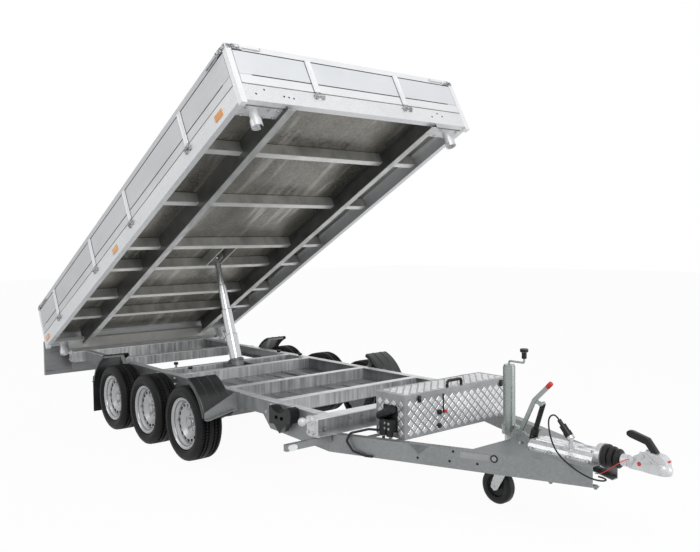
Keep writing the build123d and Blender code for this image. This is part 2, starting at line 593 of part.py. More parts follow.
def jack_fork():
    """Inner tube and the fork that trails the jockey wheel."""
    wheel_x = JACK_X - JOCKEY_TRAIL
    tube = rod((JACK_X, JACK_Y, FORK_TOP - 1), (JACK_X, JACK_Y, JACK_TOP - 60), JACK_INNER_RADIUS)
    half = JOCKEY_WIDTH / 2 + FORK_GAP
    crown = slab(JACK_X - 40, JACK_X + 30, JACK_Y - half - FORK_PLATE, JACK_Y + half + FORK_PLATE,
                 FORK_TOP - 12, FORK_TOP)
    body = tube + crown
    side = [(JACK_X - 40, FORK_TOP), (JACK_X + 30, FORK_TOP), (JACK_X + 30, FORK_TOP - 30),
            (wheel_x + 24, JOCKEY_RADIUS - 14), (wheel_x, JOCKEY_RADIUS - 22),
            (wheel_x - 22, JOCKEY_RADIUS - 6), (wheel_x - 18, JOCKEY_RADIUS + 20)]
    for y0 in (JACK_Y - half - FORK_PLATE, JACK_Y + half):
        body += prism_y(side, y0, y0 + FORK_PLATE)
    body += rod((wheel_x, JACK_Y - half - 8, JOCKEY_RADIUS), (wheel_x, JACK_Y + half + 8, JOCKEY_RADIUS), 8)
    return body


def jockey_wheel():
    """Solid tyre with a dished centre and a bore for its axle."""
    half, r = JOCKEY_WIDTH / 2, JOCKEY_RADIUS
    outline = [(8.3, half), (22, half), (24, 14), (58, 14), (64, half - 4), (r - 22, half),
               (r - 6, half - 6), (r, half - 16), (r, -half + 16), (r - 6, -half + 6),
               (r - 22, -half), (64, -half + 4), (58, -14), (24, -14), (22, -half), (8.3, -half)]
    wheel = revolve(make_face(Polyline(*outline, close=True)), Axis.Y, 360)
    return Pos(JACK_X - JOCKEY_TRAIL, JACK_Y, JOCKEY_RADIUS) * wheel


def mudguard_shell(direction):
    """Moulded quarter shell, forwards (+1) or backwards (-1): rolled edges, two ridges, flap or lip."""
    centre_x = direction * AXLE_PITCH
    r, t, e = GUARD_RADIUS, GUARD_THICKNESS, GUARD_EDGE
    inner, outer = GUARD_INNER, GUARD_OUTER
    skin = [(inner, r - GUARD_LIP), (inner, r - e), (inner + 3, r - 3), (inner + e, r)]
    for y in (inner + (outer - inner) * 0.34, inner + (outer - inner) * 0.68):
        skin += [(y - 9, r), (y - 5, r + GUARD_RIDGE), (y + 5, r + GUARD_RIDGE), (y + 9, r)]
    skin += [(outer - e, r), (outer - 3, r - 3), (outer, r - e), (outer, r - GUARD_LIP)]
    under = [(outer - t, r - GUARD_LIP), (outer - t, r - e - 1), (outer - e - 1, r - t),
             (inner + e + 1, r - t), (inner + t, r - e - 1), (inner + t, r - GUARD_LIP)]

    def at(radius, angle):
        a = math.radians(angle)
        return (centre_x + direction * radius * math.sin(a), TYRE_RADIUS + radius * math.cos(a))

    corners = []
    for y, radius in skin + under:
        x, z = at(radius, GUARD_START)
        corners.append((x, y, z))
    section = make_face(Polyline(*corners, close=True))
    shell = revolve(section, Axis((centre_x, 0, TYRE_RADIUS), (0, direction, 0)), GUARD_END - GUARD_START)
    tip_x, tip_z = at(r + GUARD_RIDGE, GUARD_END)
    if direction < 0:
        shell += slab(tip_x, tip_x + t, inner + 20, outer, FLAP_BOTTOM, tip_z + 20)
    else:
        shell += slab(tip_x - t, tip_x, inner + 20, outer, tip_z - 14, tip_z + 4)
    return shell


def mudguards():
    """Four black quarter shells, the rear ones with a flap."""
    return mirrored([mudguard_shell(1), mudguard_shell(-1)])


def mudguard_brackets():
    """Folded plates that carry the shells from the rails: one at the lower end, one at the top."""
    parts = []
    reach = (GUARD_RADIUS + GUARD_RIDGE) * math.sin(math.radians(GUARD_END))
    top_x = AXLE_PITCH + GUARD_RADIUS * math.sin(math.radians(GUARD_START + 3))
    crest = (TYRE_RADIUS + math.sqrt((GUARD_RADIUS - GUARD_THICKNESS) ** 2
                                     - (top_x + BRACKET_SHEET - AXLE_PITCH) ** 2) - RUNNING_GAP)
    for direction in (1, -1):
        x = direction * (AXLE_PITCH + reach)
        t = direction * BRACKET_SHEET
        tip = BRACKET_REACH
        plate = prism_x([(RAIL_OUTER, 400), (RAIL_OUTER, RAIL_TOP), (690, RAIL_TOP), (tip - 10, 408),
                         (tip, 400), (tip, 352), (tip - 22, 352), (700, 398)], x, x + t)
        plate += prism_x([(700, 398), (tip - 22, 352), (tip, 352), (tip, 356), (tip - 21, 356),
                          (700, 402)], x, x + direction * 34)
        plate += slab(x, x + direction * 40, RAIL_OUTER, RAIL_OUTER + BRACKET_SHEET, 400, RAIL_TOP)
        parts.append(plate)
        post = prism_x([(RAIL_OUTER, 430), (RAIL_OUTER, RAIL_TOP), (700, RAIL_TOP), (742, crest),
                        (GUARD_OUTER - 12, crest), (GUARD_OUTER - 12, crest - 16), (766, crest - 16),
                        (716, 430)], direction * top_x, direction * (top_x + BRACKET_SHEET))
        post += slab(direction * top_x, direction * (top_x + 36), RAIL_OUTER, RAIL_OUTER + BRACKET_SHEET,
                     430, RAIL_TOP)
        parts.append(post)
    return mirrored(parts)


def toolbox():
    """Open-topped sheet box on the drawbar."""
    z0 = RAIL_BOTTOM
    shell = slab(BOX_REAR, BOX_FRONT, -BOX_HALF_WIDTH, BOX_HALF_WIDTH, z0, BOX_TOP)
    shell -= slab(BOX_REAR + BOX_SHEET, BOX_FRONT - BOX_SHEET, -BOX_HALF_WIDTH + BOX_SHEET,
                  BOX_HALF_WIDTH - BOX_SHEET, z0 + BOX_SHEET, BOX_TOP + 1)
    hinge_x, hinge_z = BOX_REAR - LID_HINGE_RADIUS - 2, BOX_TOP - 5
    for y in (-300.0, 300.0):
        shell += rod((hinge_x, y - 61, hinge_z), (hinge_x, y - 31, hinge_z), LID_HINGE_RADIUS)
        shell += slab(hinge_x, BOX_REAR + 1, y - 61, y - 31, hinge_z - 5, hinge_z)
    return shell


def toolbox_lid():
    """Lid with skirts at the front and sides, hinge barrels and a grab handle."""
    x0, x1 = BOX_REAR - 1, BOX_FRONT + LID_GAP + LID_SHEET
    half = BOX_HALF_WIDTH + LID_GAP + LID_SHEET
    top = BOX_TOP + LID_GAP + LID_SHEET
    lid = slab(x0, x1, -half, half, top - LID_SKIRT, top)
    lid -= slab(x0 - 1, x1 - LID_SHEET, -half + LID_SHEET, half - LID_SHEET, top - LID_SKIRT - 1,
                top - LID_SHEET)
    hinge_x, hinge_z = BOX_REAR - LID_HINGE_RADIUS - 2, BOX_TOP - 5
    for y in (-300.0, 300.0):
        lid += rod((hinge_x, y - 30, hinge_z), (hinge_x, y + 30, hinge_z), LID_HINGE_RADIUS)
        lid += slab(hinge_x, x0 + 6, y - 30, y + 30, hinge_z + 3, top)
        lid -= slab(BOX_REAR, x0 + 8, y - 30, y + 30, hinge_z - 8, BOX_TOP + LID_GAP)
    handle = bent_rod([(BOX_FRONT - 24, -78, top - 1), (BOX_FRONT - 24, -78, top + 36),
                       (BOX_FRONT - 24, 46, top + 36), (BOX_FRONT - 24, 46, top - 1)], 16, 8)
    return lid + handle


def pump_unit():
    """Motor, valve block, tank and fittings on the end of the toolbox, with the hose to the drawbar."""
    y, rear = -BOX_HALF_WIDTH, BOX_REAR
    body = slab(rear + 68, rear + 184, y - 6, y, 446, 596)
    body += rod((rear + 66, y - 34, 528), (rear + 178, y - 34, 586), 25)
    body += rod((rear + 60, y - 34, 525), (rear + 70, y - 34, 530), 17)
    body += slab(rear + 84, rear + 178, y - 52, y - 1, 456, 520)
    body += rod((rear + 108, y - 38, 430), (rear + 108, y - 38, 520), 27)
    body += rod((rear + 152, y - 34, 424), (rear + 152, y - 34, 512), 21)
    body += rod((rear + 104, y - 38, 396), (rear + 104, y - 38, 432), 9)
    body += rod((rear + 150, y - 26, 404), (rear + 150, y - 26, 426), 8)
    hose = bent_rod([(rear + 92, -495, 450), (rear + 30, -540, 452), (rear - 20, -636, 436),
                     (rear - 42, -648, 388), (rear - 8, -628, 332), (rear + 62, -594, 312),
                     (rear + 102, -575, 312)], 18, 7)
    body += hose
    return body - slab(rear + 40, rear + 240, y, y + 60, 380, 610)


def wheel_chock():
    """Black wheel chock with its hollowed top, held on the right rail by a V plate."""
    y, rear = -RAIL_OUTER, FRONT_BEAM_REAR - 467.0
    outline = [(rear, 392), (rear, 506), (rear + 26, 500), (rear + 52, 482), (rear + 96, 472),
               (rear + 138, 480), (rear + 172, 500), (rear + 196, 518), (rear + 226, 512),
               (rear + 236, 470), (rear + 226, 424), (rear + 120, 404)]
    chock = prism_y(outline, y - 70, y - 3)
    for x in (rear + 62, rear + 120):
        chock -= prism_y([(x, 430), (x + 34, 434), (x + 34, 456), (x, 452)], y - 71, y - 56)
    holder = prism_y([(rear + 34, 398), (rear + 94, 342), (rear + 176, 412)], y - 60, y - 6)
    return chock + holder + slab(rear + 40, rear + 180, y - 7, y, 412, 470)


def lamp_brackets():
    """C-section arms at the front corners, and the lamp plates at the rear."""
    rear = DRAWBAR_BEND - 5
    arm = slab(rear, rear + LAMP_ARM_DEPTH, RAIL_OUTER, LAMP_ARM_REACH, LAMP_ARM_BOTTOM, LAMP_ARM_TOP)
    arm -= slab(rear - 1, rear + LAMP_ARM_DEPTH - 3, RAIL_OUTER + 60, LAMP_ARM_REACH - 6,
                LAMP_ARM_BOTTOM + 4, LAMP_ARM_TOP - 4)
    face = REAR_BEAM_REAR + REAR_LAMP_DEPTH - 14
    plate = slab(face, face + 4, REAR_LAMP_INNER - 40, REAR_LAMP_OUTER + 10, REAR_LAMP_BOTTOM - 2, RAIL_BOTTOM)
    plate += slab(REAR_BEAM_REAR, face + 4, REAR_LAMP_INNER - 40, REAR_LAMP_OUTER + 10, RAIL_BOTTOM - 4,
                  RAIL_BOTTOM)
    return mirrored([arm, plate])


def lamps():
    """Oval front marker lamps and rear lamp units with a raised lens."""
    front = DRAWBAR_BEND - 5 + LAMP_ARM_DEPTH
    mid, r = (LAMP_ARM_BOTTOM + LAMP_ARM_TOP) / 2, (LAMP_ARM_TOP - LAMP_ARM_BOTTOM) / 2 - 2
    y0, y1 = LAMP_ARM_REACH - 52, LAMP_ARM_REACH - 26
    marker = slab(front, front + 12, y0, y1, mid - r, mid + r)
    marker += rod((front, y0, mid), (front + 12, y0, mid), r)
    marker += rod((front, y1, mid), (front + 12, y1, mid), r)
    back = REAR_BEAM_REAR - 14
    rear = slab(back + 8, back + REAR_LAMP_DEPTH, REAR_LAMP_INNER, REAR_LAMP_OUTER, REAR_LAMP_BOTTOM,
                REAR_LAMP_TOP)
    rear += slab(back, back + 10, REAR_LAMP_INNER + 6, REAR_LAMP_OUTER - 6, REAR_LAMP_BOTTOM + 6,
                 REAR_LAMP_TOP - 6)
    return mirrored([marker, rear])


def under_tray():
    """Folded sheet under the cross members, with lengthwise beads in each bay."""
    x0, x1 = CROSS_MEMBERS[2], CROSS_MEMBERS[4] + CROSS_WIDTH
    z1 = RAIL_TOP - CROSS_DEPTH
    half = RAIL_OUTER - RAIL_WIDTH
    tray = slab(x0, x1, -half, half, z1 - 4, z1)
    for rear, front in ((CROSS_MEMBERS[2], CROSS_MEMBERS[3]), (CROSS_MEMBERS[3], CROSS_MEMBERS[4])):
        if front - rear < 4 * CROSS_WIDTH:
            continue
        for y in (-450.0, -300.0, -150.0, 150.0, 300.0, 450.0):
            tray += prism_x([(y - 16, z1 - 1), (y - 10, z1 + 8), (y + 10, z1 + 8), (y + 16, z1 - 1)],
                            rear + CROSS_WIDTH + 30, front - 30)
    return tray


def cylinder_cradle():
    """Two lengthwise plates between cross members that hold the trunnions."""
    rear = CROSS_MEMBERS[1] + CROSS_WIDTH
    front = CROSS_MEMBERS[2]
    y0 = BARREL_RADIUS + 14
    outline = [(rear, RAIL_TOP), (rear, RAIL_TOP - CROSS_DEPTH), (TRUNNION_X - 50, 392),
               (TRUNNION_X + 50, 392), (front, RAIL_TOP - CROSS_DEPTH), (front, RAIL_TOP)]
    plate = prism_y(outline, y0, y0 + 10)
    plate -= rod((TRUNNION_X, y0 - 1, TRUNNION_Z), (TRUNNION_X, y0 + 11, TRUNNION_Z), 16.1)
    return mirrored([plate])


def bed_buffers():
    """Studs with rubber caps on the cross members each side of the cylinder."""
    studs = []
    for x, y in STUDS:
        stud = rod((x, y, RAIL_TOP), (x, y, RAIL_TOP + STUD_HEIGHT - 12), STUD_RADIUS)
        stud += rod((x, y, RAIL_TOP + STUD_HEIGHT - 20), (x, y, RAIL_TOP + STUD_HEIGHT), STUD_CAP_RADIUS)
        stud += rod((x, y, RAIL_TOP), (x, y, RAIL_TOP + 5), STUD_CAP_RADIUS)
        studs.append(stud)
    return mirrored(studs)


def place_on_bed(shapes):
    """Bed pieces carried to the tipped bed's place."""
    return [BED_PLACE * s for s in flat_list(shapes)]


def bed_frame():
    """Four C profiles between the corner posts."""
    h, f, s = BED_FRAME_HEIGHT, BED_FRAME_FLANGE, BED_SHEET
    side = prism_x([(BED_HALF - a, b) for a, b in channel(f, h, s)], POST_SIZE, BED_LENGTH - POST_SIZE)
    front = prism_y([(BED_LENGTH - a, b) for a, b in channel(f, h, s)],
                    -BED_HALF + POST_SIZE, BED_HALF - POST_SIZE)
    rear = prism_y([(a, b) for a, b in channel(f, h, s)], -BED_HALF + POST_SIZE, BED_HALF - POST_SIZE)
    front -= slab(BED_LENGTH - f - 1, BED_LENGTH - POST_SIZE, BED_HALF - f, BED_HALF, -1, h + 1)
    front -= slab(BED_LENGTH - f - 1, BED_LENGTH - POST_SIZE, -BED_HALF, -BED_HALF + f, -1, h + 1)
    rear -= slab(POST_SIZE, f + 1, BED_HALF - f, BED_HALF, -1, h + 1)
    rear -= slab(POST_SIZE, f + 1, -BED_HALF, -BED_HALF + f, -1, h + 1)
    knuckles = []
    pin_w = BED_HALF + HINGE_OUT
    for sign in (1, -1):
        for l in SIDE_STRAPS:
            for end in (1, -1):
                a = l + end * (STRAP_NECK / 2 + KNUCKLE_GAP)
                b = a + end * KNUCKLE_LENGTH
                k = rod((a, sign * pin_w, HINGE_HEIGHT), (b, sign * pin_w, HINGE_HEIGHT), HINGE_RADIUS)
                k += slab(min(a, b), max(a, b), sign * BED_HALF, sign * pin_w,
                          HINGE_HEIGHT - 22, HINGE_HEIGHT)
                knuckles.append(k)
    pin_l = BED_LENGTH + HINGE_OUT
    for w in END_STRAPS:
        for end in (1, -1):
            a = w + end * (STRAP_NECK / 2 + KNUCKLE_GAP)
            b = a + end * KNUCKLE_LENGTH
            k = rod((pin_l, a, HINGE_HEIGHT), (pin_l, b, HINGE_HEIGHT), HINGE_RADIUS)
            k += slab(BED_LENGTH, pin_l, min(a, b), max(a, b), HINGE_HEIGHT - 22, HINGE_HEIGHT)
            knuckles.append(k)
    for w in TAIL_STRAPS:
        for end in (1, -1):
            a = w + end * (STRAP_NECK / 2 + KNUCKLE_GAP)
            b = a + end * KNUCKLE_LENGTH
            k = rod((-TAIL_HINGE_OUT, a, TAIL_HINGE_H), (-TAIL_HINGE_OUT, b, TAIL_HINGE_H), HINGE_RADIUS)
            k += slab(-TAIL_HINGE_OUT, 0, min(a, b), max(a, b), TAIL_HINGE_H - HINGE_RADIUS,
                      TAIL_HINGE_H)
            knuckles.append(k)
    left = prism_x([(a - BED_HALF, b) for a, b in channel(f, h, s)], POST_SIZE, BED_LENGTH - POST_SIZE)
    body = [side, left, front, rear]
    fused = []
    for member in body:
        for k in knuckles:
            if member.distance_to(k) < 0.01:
                member = member + k
        fused.append(member)
    return fused


def bed_floor():
    """Floor sheet with notches for the corner posts."""
    floor = slab(0, BED_LENGTH, -BED_HALF, BED_HALF, BED_FRAME_HEIGHT, BED_FLOOR_TOP)
    for l in (0, BED_LENGTH - POST_SIZE):
        for w in (-BED_HALF, BED_HALF - POST_SIZE):
            floor -= slab(l, l + POST_SIZE, w, w + POST_SIZE, 0, BED_HEIGHT)
    return floor


def bed_sub_rails():
    """Two C rails under the floor, open towards the middle."""
    h = BED_FRAME_HEIGHT + SUB_RAIL_BELOW
    outer = SUB_RAIL_INNER + SUB_RAIL_WIDTH
    outline = [(outer - a, b - SUB_RAIL_BELOW) for a, b in channel(SUB_RAIL_WIDTH, h, SHEET)]
    rail = prism_x(outline, PIVOT_L, BED_LENGTH - 15)
    rail -= slab(BED_LENGTH - BED_FRAME_FLANGE, BED_LENGTH, SUB_RAIL_INNER - 1, outer + 1,
                 0, BED_FRAME_HEIGHT + 1)
    return mirrored([rail])


def bed_bearers():
    """Hat-section bearers in three lengths, and the deep rear beam."""
    parts = []
    outer = SUB_RAIL_INNER + SUB_RAIL_WIDTH
    wide, top, s = BEARER_WIDTH, BED_FRAME_HEIGHT, BED_SHEET
    for _, l in BEARERS:
        hat = [(l, BEARER_BOTTOM), (l + wide, BEARER_BOTTOM), (l + wide, top), (l + wide - s, top),
               (l + wide - s, BEARER_BOTTOM + s), (l + s, BEARER_BOTTOM + s), (l + s, top), (l, top)]
        parts.append(prism_y(hat, -SUB_RAIL_INNER, SUB_RAIL_INNER))
        parts += mirrored([prism_y(hat, outer, BED_HALF - BED_FRAME_FLANGE)])
    z0, z1 = REAR_BED_BEAM_BOTTOM, REAR_BED_BEAM_TOP
    beam = prism_y([(0, z0), (PIVOT_L, z0), (PIVOT_L, z1), (BED_FRAME_FLANGE, z1),
                    (BED_FRAME_FLANGE, 0), (0, 0)], -800, 800)
    parts.append(beam)
    return parts


def corner_posts():
    """Square posts at the four corners."""
    posts = []
    for l in (0, BED_LENGTH - POST_SIZE):
        posts.append(slab(l, l + POST_SIZE, BED_HALF - POST_SIZE, BED_HALF, -POST_BELOW, BED_HEIGHT))
    return mirrored(posts)


def ball_sockets():
    """Cups that sit on the chassis balls, each slotted for the ball's neck."""
    inner = BALL_RADIUS + CUP_CLEARANCE
    outer = inner + CUP_WALL
    bottom = PIVOT_H - CUP_BELOW_BALL
    parts = []
    for l in (PIVOT_L, PIVOT_L + FRONT_BALL_X - REAR_BALL_X):
        crown = PIVOT_H + BALL_RADIUS + CUP_CROWN
        cup = rod((l, BALL_SPAN, bottom), (l, BALL_SPAN, crown), outer)
        cup += rod((l, BALL_SPAN, crown - 1), (l, BALL_SPAN, 0), CUP_STEM_RADIUS)
        cup -= rod((l, BALL_SPAN, bottom - 1), (l, BALL_SPAN, PIVOT_H), inner)
        cup -= Pos(l, BALL_SPAN, PIVOT_H) * Sphere(BALL_RADIUS + RUNNING_GAP)
        slot = BALL_NECK_RADIUS + 3
        cup -= slab(l - slot, l + slot, BALL_SPAN - outer - 1, BALL_SPAN, bottom - 1, PIVOT_H + slot)
        reach = SUB_RAIL_INNER + SUB_RAIL_WIDTH
        if l > BED_LENGTH / 2:
            cup += slab(l - 50, l + 50, reach, BED_HALF - BED_FRAME_FLANGE, 0, 30)
        else:
            cup += slab(PIVOT_L, PIVOT_L + 60, reach, BED_HALF - BED_FRAME_FLANGE, 0, 30)
        parts.append(cup)
    return mirrored(parts)


def cylinder_seat():
    """Seat plate and side plates above the cylinder's ball end."""
    rear = dict(BEARERS)["seat_rear"] + BEARER_WIDTH
    front = dict(BEARERS)["seat_front"]
    plate = slab(rear, front, -80, 80, BED_FRAME_HEIGHT - 6, BED_FRAME_HEIGHT)
    for sign in (1, -1):
        w0 = sign * 60
        plate += slab(rear, front, w0, w0 + sign * 8, BEARER_BOTTOM, BED_FRAME_HEIGHT - 5)
        e0 = sign * (BALL_END_RADIUS + 6)
        plate += slab(BALL_END_L - 36, BALL_END_L + 60, e0, e0 + sign * 8, 40, BED_FRAME_HEIGHT - 5)
    return plate


def side_reflectors():
    """Amber side reflectors on the frame."""
    blocks = [slab(l, l + 92, BED_HALF, BED_HALF + 6, 36, 78) for l in REFLECTORS]
    return mirrored(blocks)


def board_profile(inner, outer, bottom, top):
    """Board section in (w, h) with two grooves in its outer face."""
    g, d = GROOVE_WIDTH / 2, GROOVE_DEPTH
    return [(inner, bottom), (outer, bottom), (outer, GROOVE_LOW - g), (outer - d, GROOVE_LOW - g),
            (outer - d, GROOVE_LOW + g), (outer, GROOVE_LOW + g), (outer, GROOVE_TOP - g),
            (outer - d, GROOVE_TOP - g), (outer - d, GROOVE_TOP + g), (outer, GROOVE_TOP + g),
            (outer, top), (inner, top)]


def side_board():
    """Left board with straps, hinge eyes and corner latches."""
    outer, inner = BED_HALF, BED_HALF - BOARD_THICKNESS
    l0 = POST_SIZE + BOARD_END_GAP
    l1 = BED_LENGTH - POST_SIZE - BOARD_END_GAP
    board = prism_x(board_profile(inner, outer, BOARD_BOTTOM, BED_HEIGHT), l0, l1)
    pin = outer + HINGE_OUT
    for l in SIDE_STRAPS:
        half, neck = STRAP_WIDTH / 2, STRAP_NECK / 2
        board += slab(l - half, l + half, outer - 1, outer + STRAP_THICKNESS, BOARD_BOTTOM, STRAP_TOP)
        board += slab(l - neck, l + neck, outer + 1, outer + STRAP_THICKNESS, HINGE_HEIGHT, BOARD_BOTTOM + 1)
        board += rod((l - neck, pin, HINGE_HEIGHT), (l + neck, pin, HINGE_HEIGHT), HINGE_RADIUS)
    for l, way in ((l0, 1), (l1, -1)):
        board += slab(l, l + way * 64, outer - 1, outer + 8, 370, 404)
        board += rod((l + way * 50, outer, 390), (l + way * 50, outer + LATCH_OUT, 390), 9)
        board += slab(l + way * 20, l + way * LATCH_LENGTH, outer + 7, outer + 12, 382, 398)
        board += rod((l + way * LATCH_LENGTH, outer + 2, 390), (l + way * LATCH_LENGTH, outer + 13, 390), 8)
    return board


def front_board():
    """Front board with two straps."""
    outer, inner = BED_LENGTH, BED_LENGTH - BOARD_THICKNESS
    half_w = BED_HALF - POST_SIZE - BOARD_END_GAP
    board = prism_y(board_profile(inner, outer, BOARD_BOTTOM, BED_HEIGHT), -half_w, half_w)
    pin = outer + HINGE_OUT
    for w in END_STRAPS:
        half, neck = STRAP_WIDTH / 2, STRAP_NECK / 2
        board += slab(outer - 1, outer + STRAP_THICKNESS, w - half, w + half, BOARD_BOTTOM, STRAP_TOP)
        board += slab(outer + 1, outer + STRAP_THICKNESS, w - neck, w + neck, HINGE_HEIGHT, BOARD_BOTTOM + 1)
        board += rod((pin, w - neck, HINGE_HEIGHT), (pin, w + neck, HINGE_HEIGHT), HINGE_RADIUS)
    for sign in (1, -1):
        w = sign * half_w
        board += slab(outer - 1, outer + 8, w, w - sign * 64, 370, 404)
        board += rod((outer, w - sign * 50, 390), (outer + LATCH_OUT, w - sign * 50, 390), 9)
        board += slab(outer + 7, outer + 12, w - sign * 20, w - sign * LATCH_LENGTH, 382, 398)
        board += rod((outer + 2, w - sign * LATCH_LENGTH, 390), (outer + 13, w - sign * LATCH_LENGTH, 390), 8)
    return board


def tail_board():
    """Tail board, made closed and then swung open until it hangs."""
    inner, outer = -TAIL_GAP, -TAIL_GAP - TAIL_THICKNESS
    half_w = BED_HALF - 5
    g, d = GROOVE_WIDTH / 2, GROOVE_DEPTH
    outline = [(inner, TAIL_BOTTOM), (outer, TAIL_BOTTOM), (outer, GROOVE_LOW - g),
               (outer + d, GROOVE_LOW - g), (outer + d, GROOVE_LOW + g), (outer, GROOVE_LOW + g),
               (outer, GROOVE_TOP - g), (outer + d, GROOVE_TOP - g), (outer + d, GROOVE_TOP + g),
               (outer, GROOVE_TOP + g), (outer, TAIL_TOP), (inner, TAIL_TOP)]
    board = prism_y(outline, -half_w, half_w)
    for w in TAIL_STRAPS:
        neck = STRAP_NECK / 2
        board += slab(outer, -TAIL_HINGE_OUT + HINGE_RADIUS, w - neck, w + neck, TAIL_HINGE_H, TAIL_BOTTOM + 1)
        board += rod((-TAIL_HINGE_OUT, w - neck, TAIL_HINGE_H), (-TAIL_HINGE_OUT, w + neck, TAIL_HINGE_H),
                     HINGE_RADIUS)
    for sign in (1, -1):
        w = sign * half_w
        board += slab(outer + 1, outer - 14, w, w - sign * 70, 372, 402)
    pin = Location((-TAIL_HINGE_OUT, 0, TAIL_HINGE_H))
    swing = pin * Location((0, 0, 0), (0, -(180 - TIP_ANGLE), 0)) * pin.inverse()
    return swing * board


def cylinder_line():
    """Trunnion, unit direction up the cylinder, and its length to the ball."""
    ball = (BED_PLACE * Pos(BALL_END_L, 0, BALL_END_H)).position
    trunnion = Vector(TRUNNION_X, 0, TRUNNION_Z)
    way = ball - trunnion
    return trunnion, way.normalized(), way.length


def save_cylinder():
    """Barrel with trunnion pins, and the four stages that slide out of it."""
    trunnion, way, length = cylinder_line()

    def along(a, b, radius):
        return rod(trunnion + way * a, trunnion + way * b, radius)

    barrel = along(-BARREL_BELOW, BARREL_TOP, BARREL_RADIUS)
    bore = STAGES[0][0] + STAGE_CLEARANCE
    barrel -= along(-BARREL_BELOW + 14, BARREL_TOP + 1, bore)
    for sign in (1, -1):
        start = (TRUNNION_X, sign * (BARREL_RADIUS - 4), TRUNNION_Z)
        barrel += rod(start, (TRUNNION_X, sign * (BARREL_RADIUS + 26), TRUNNION_Z), 16)
    save("cylinder_barrel", barrel)
    top = BARREL_TOP
    for i, (radius, shown) in enumerate(STAGES, start=1):
        stage = along(top - STAGE_KEPT, top + shown, radius)
        if i < len(STAGES):
            stage -= along(top - STAGE_KEPT - 1, top + shown + 1, STAGES[i][0] + STAGE_CLEARANCE)
        else:
            stage += along(top + shown - 2, length, ROD_NECK_RADIUS)
            stage += Location(trunnion + way * length) * Sphere(BALL_END_RADIUS)
        save(f"cylinder_stage_{i}", stage)
        top += shown


# Routes of the two cords: the trailer cable from the nose to its parked plug, and the
# breakaway cable from the nose to the eye on the coupling
CABLE_DIAMETER = 8.5
CABLE_ROUTE = [(3385.0, -62.0, 350.0), (3414.0, -62.0, 350.0), (3446.0, -84.0, 351.0),
               (3450.0, -122.0, 354.0), (3420.0, -148.0, 359.0), (3374.0, -158.0, 370.0),
               (3326.0, -164.0, 389.0), (3278.0, -165.0, 412.0), (3232.0, -158.0, 434.0),
               (3188.0, -142.0, 459.0), (3146.0, -116.0, 491.0), (3110.0, -86.0, 530.0),
               (3088.0, -64.0, 566.0), (3085.0, -54.0, 596.0), (3104.0, -50.5, 613.9),
               (3128.3, -50.0, 611.3), (3144.3, -50.0, 592.8)]
PLUG_LENGTH = 100.0
BREAKAWAY_DIAMETER = 4.0
BREAKAWAY = [(3385.0, -92.0, 372.0), (3409.0, -92.0, 372.0), (3447.0, -77.0, 399.0),
             (3485.0, -60.0, 432.0), (3521.0, -42.0, 464.0), (3545.0, -42.0, 464.0)]


def corner_radii(route):
    """Fillet radius at each corner: 0.45 of the shorter run over the tangent of half the turn."""
    radii = []
    points = [Vector(p) for p in route]
    for a, b, c in zip(points, points[1:], points[2:]):
        turn = math.radians((b - a).get_angle(c - b))
        radii.append(0.45 * min((b - a).length, (c - b).length) / math.tan(turn / 2))
    return radii


def cord(route, diameter):
    """A round cord along straight runs joined by tangent arcs."""
    radii = corner_radii(route)
    path = FilletPolyline(*route, radius=radii)
    start = Plane(origin=path @ 0, z_dir=path % 0)
    solid = sweep(start * Circle(diameter / 2), path=path)
    print("cord radii", [round(r) for r in radii], "length", round(path.length),
          "volume ratio", round(solid.volume / (path.length * math.pi * diameter ** 2 / 4), 4))
    return solid


def plug_ends():
    """Where the cable enters the plug, where the plug ends, and its direction."""
    start = Vector(CABLE_ROUTE[-1])
    way = (start - Vector(CABLE_ROUTE[-2])).normalized()
    return start, start + way * PLUG_LENGTH, way


def plug():
    """Connector with its cap, standing in the park holder."""
    a, b, way = plug_ends()
    body = rod(a, a + way * 34, 11)
    body += rod(a + way * 33, a + way * 74, 19)
    body += rod(a + way * 73, b, 22)
    return body


def plug_holder():
    """Park holder on the overrun cover."""
    _, b, way = plug_ends()
    socket = rod(b, b + way * 16, 22)
    foot = slab(b.X + 2, b.X + 12, b.Y - 14, b.Y + 14, RAIL_BOTTOM + 30, b.Z - 8)
    return socket + foot


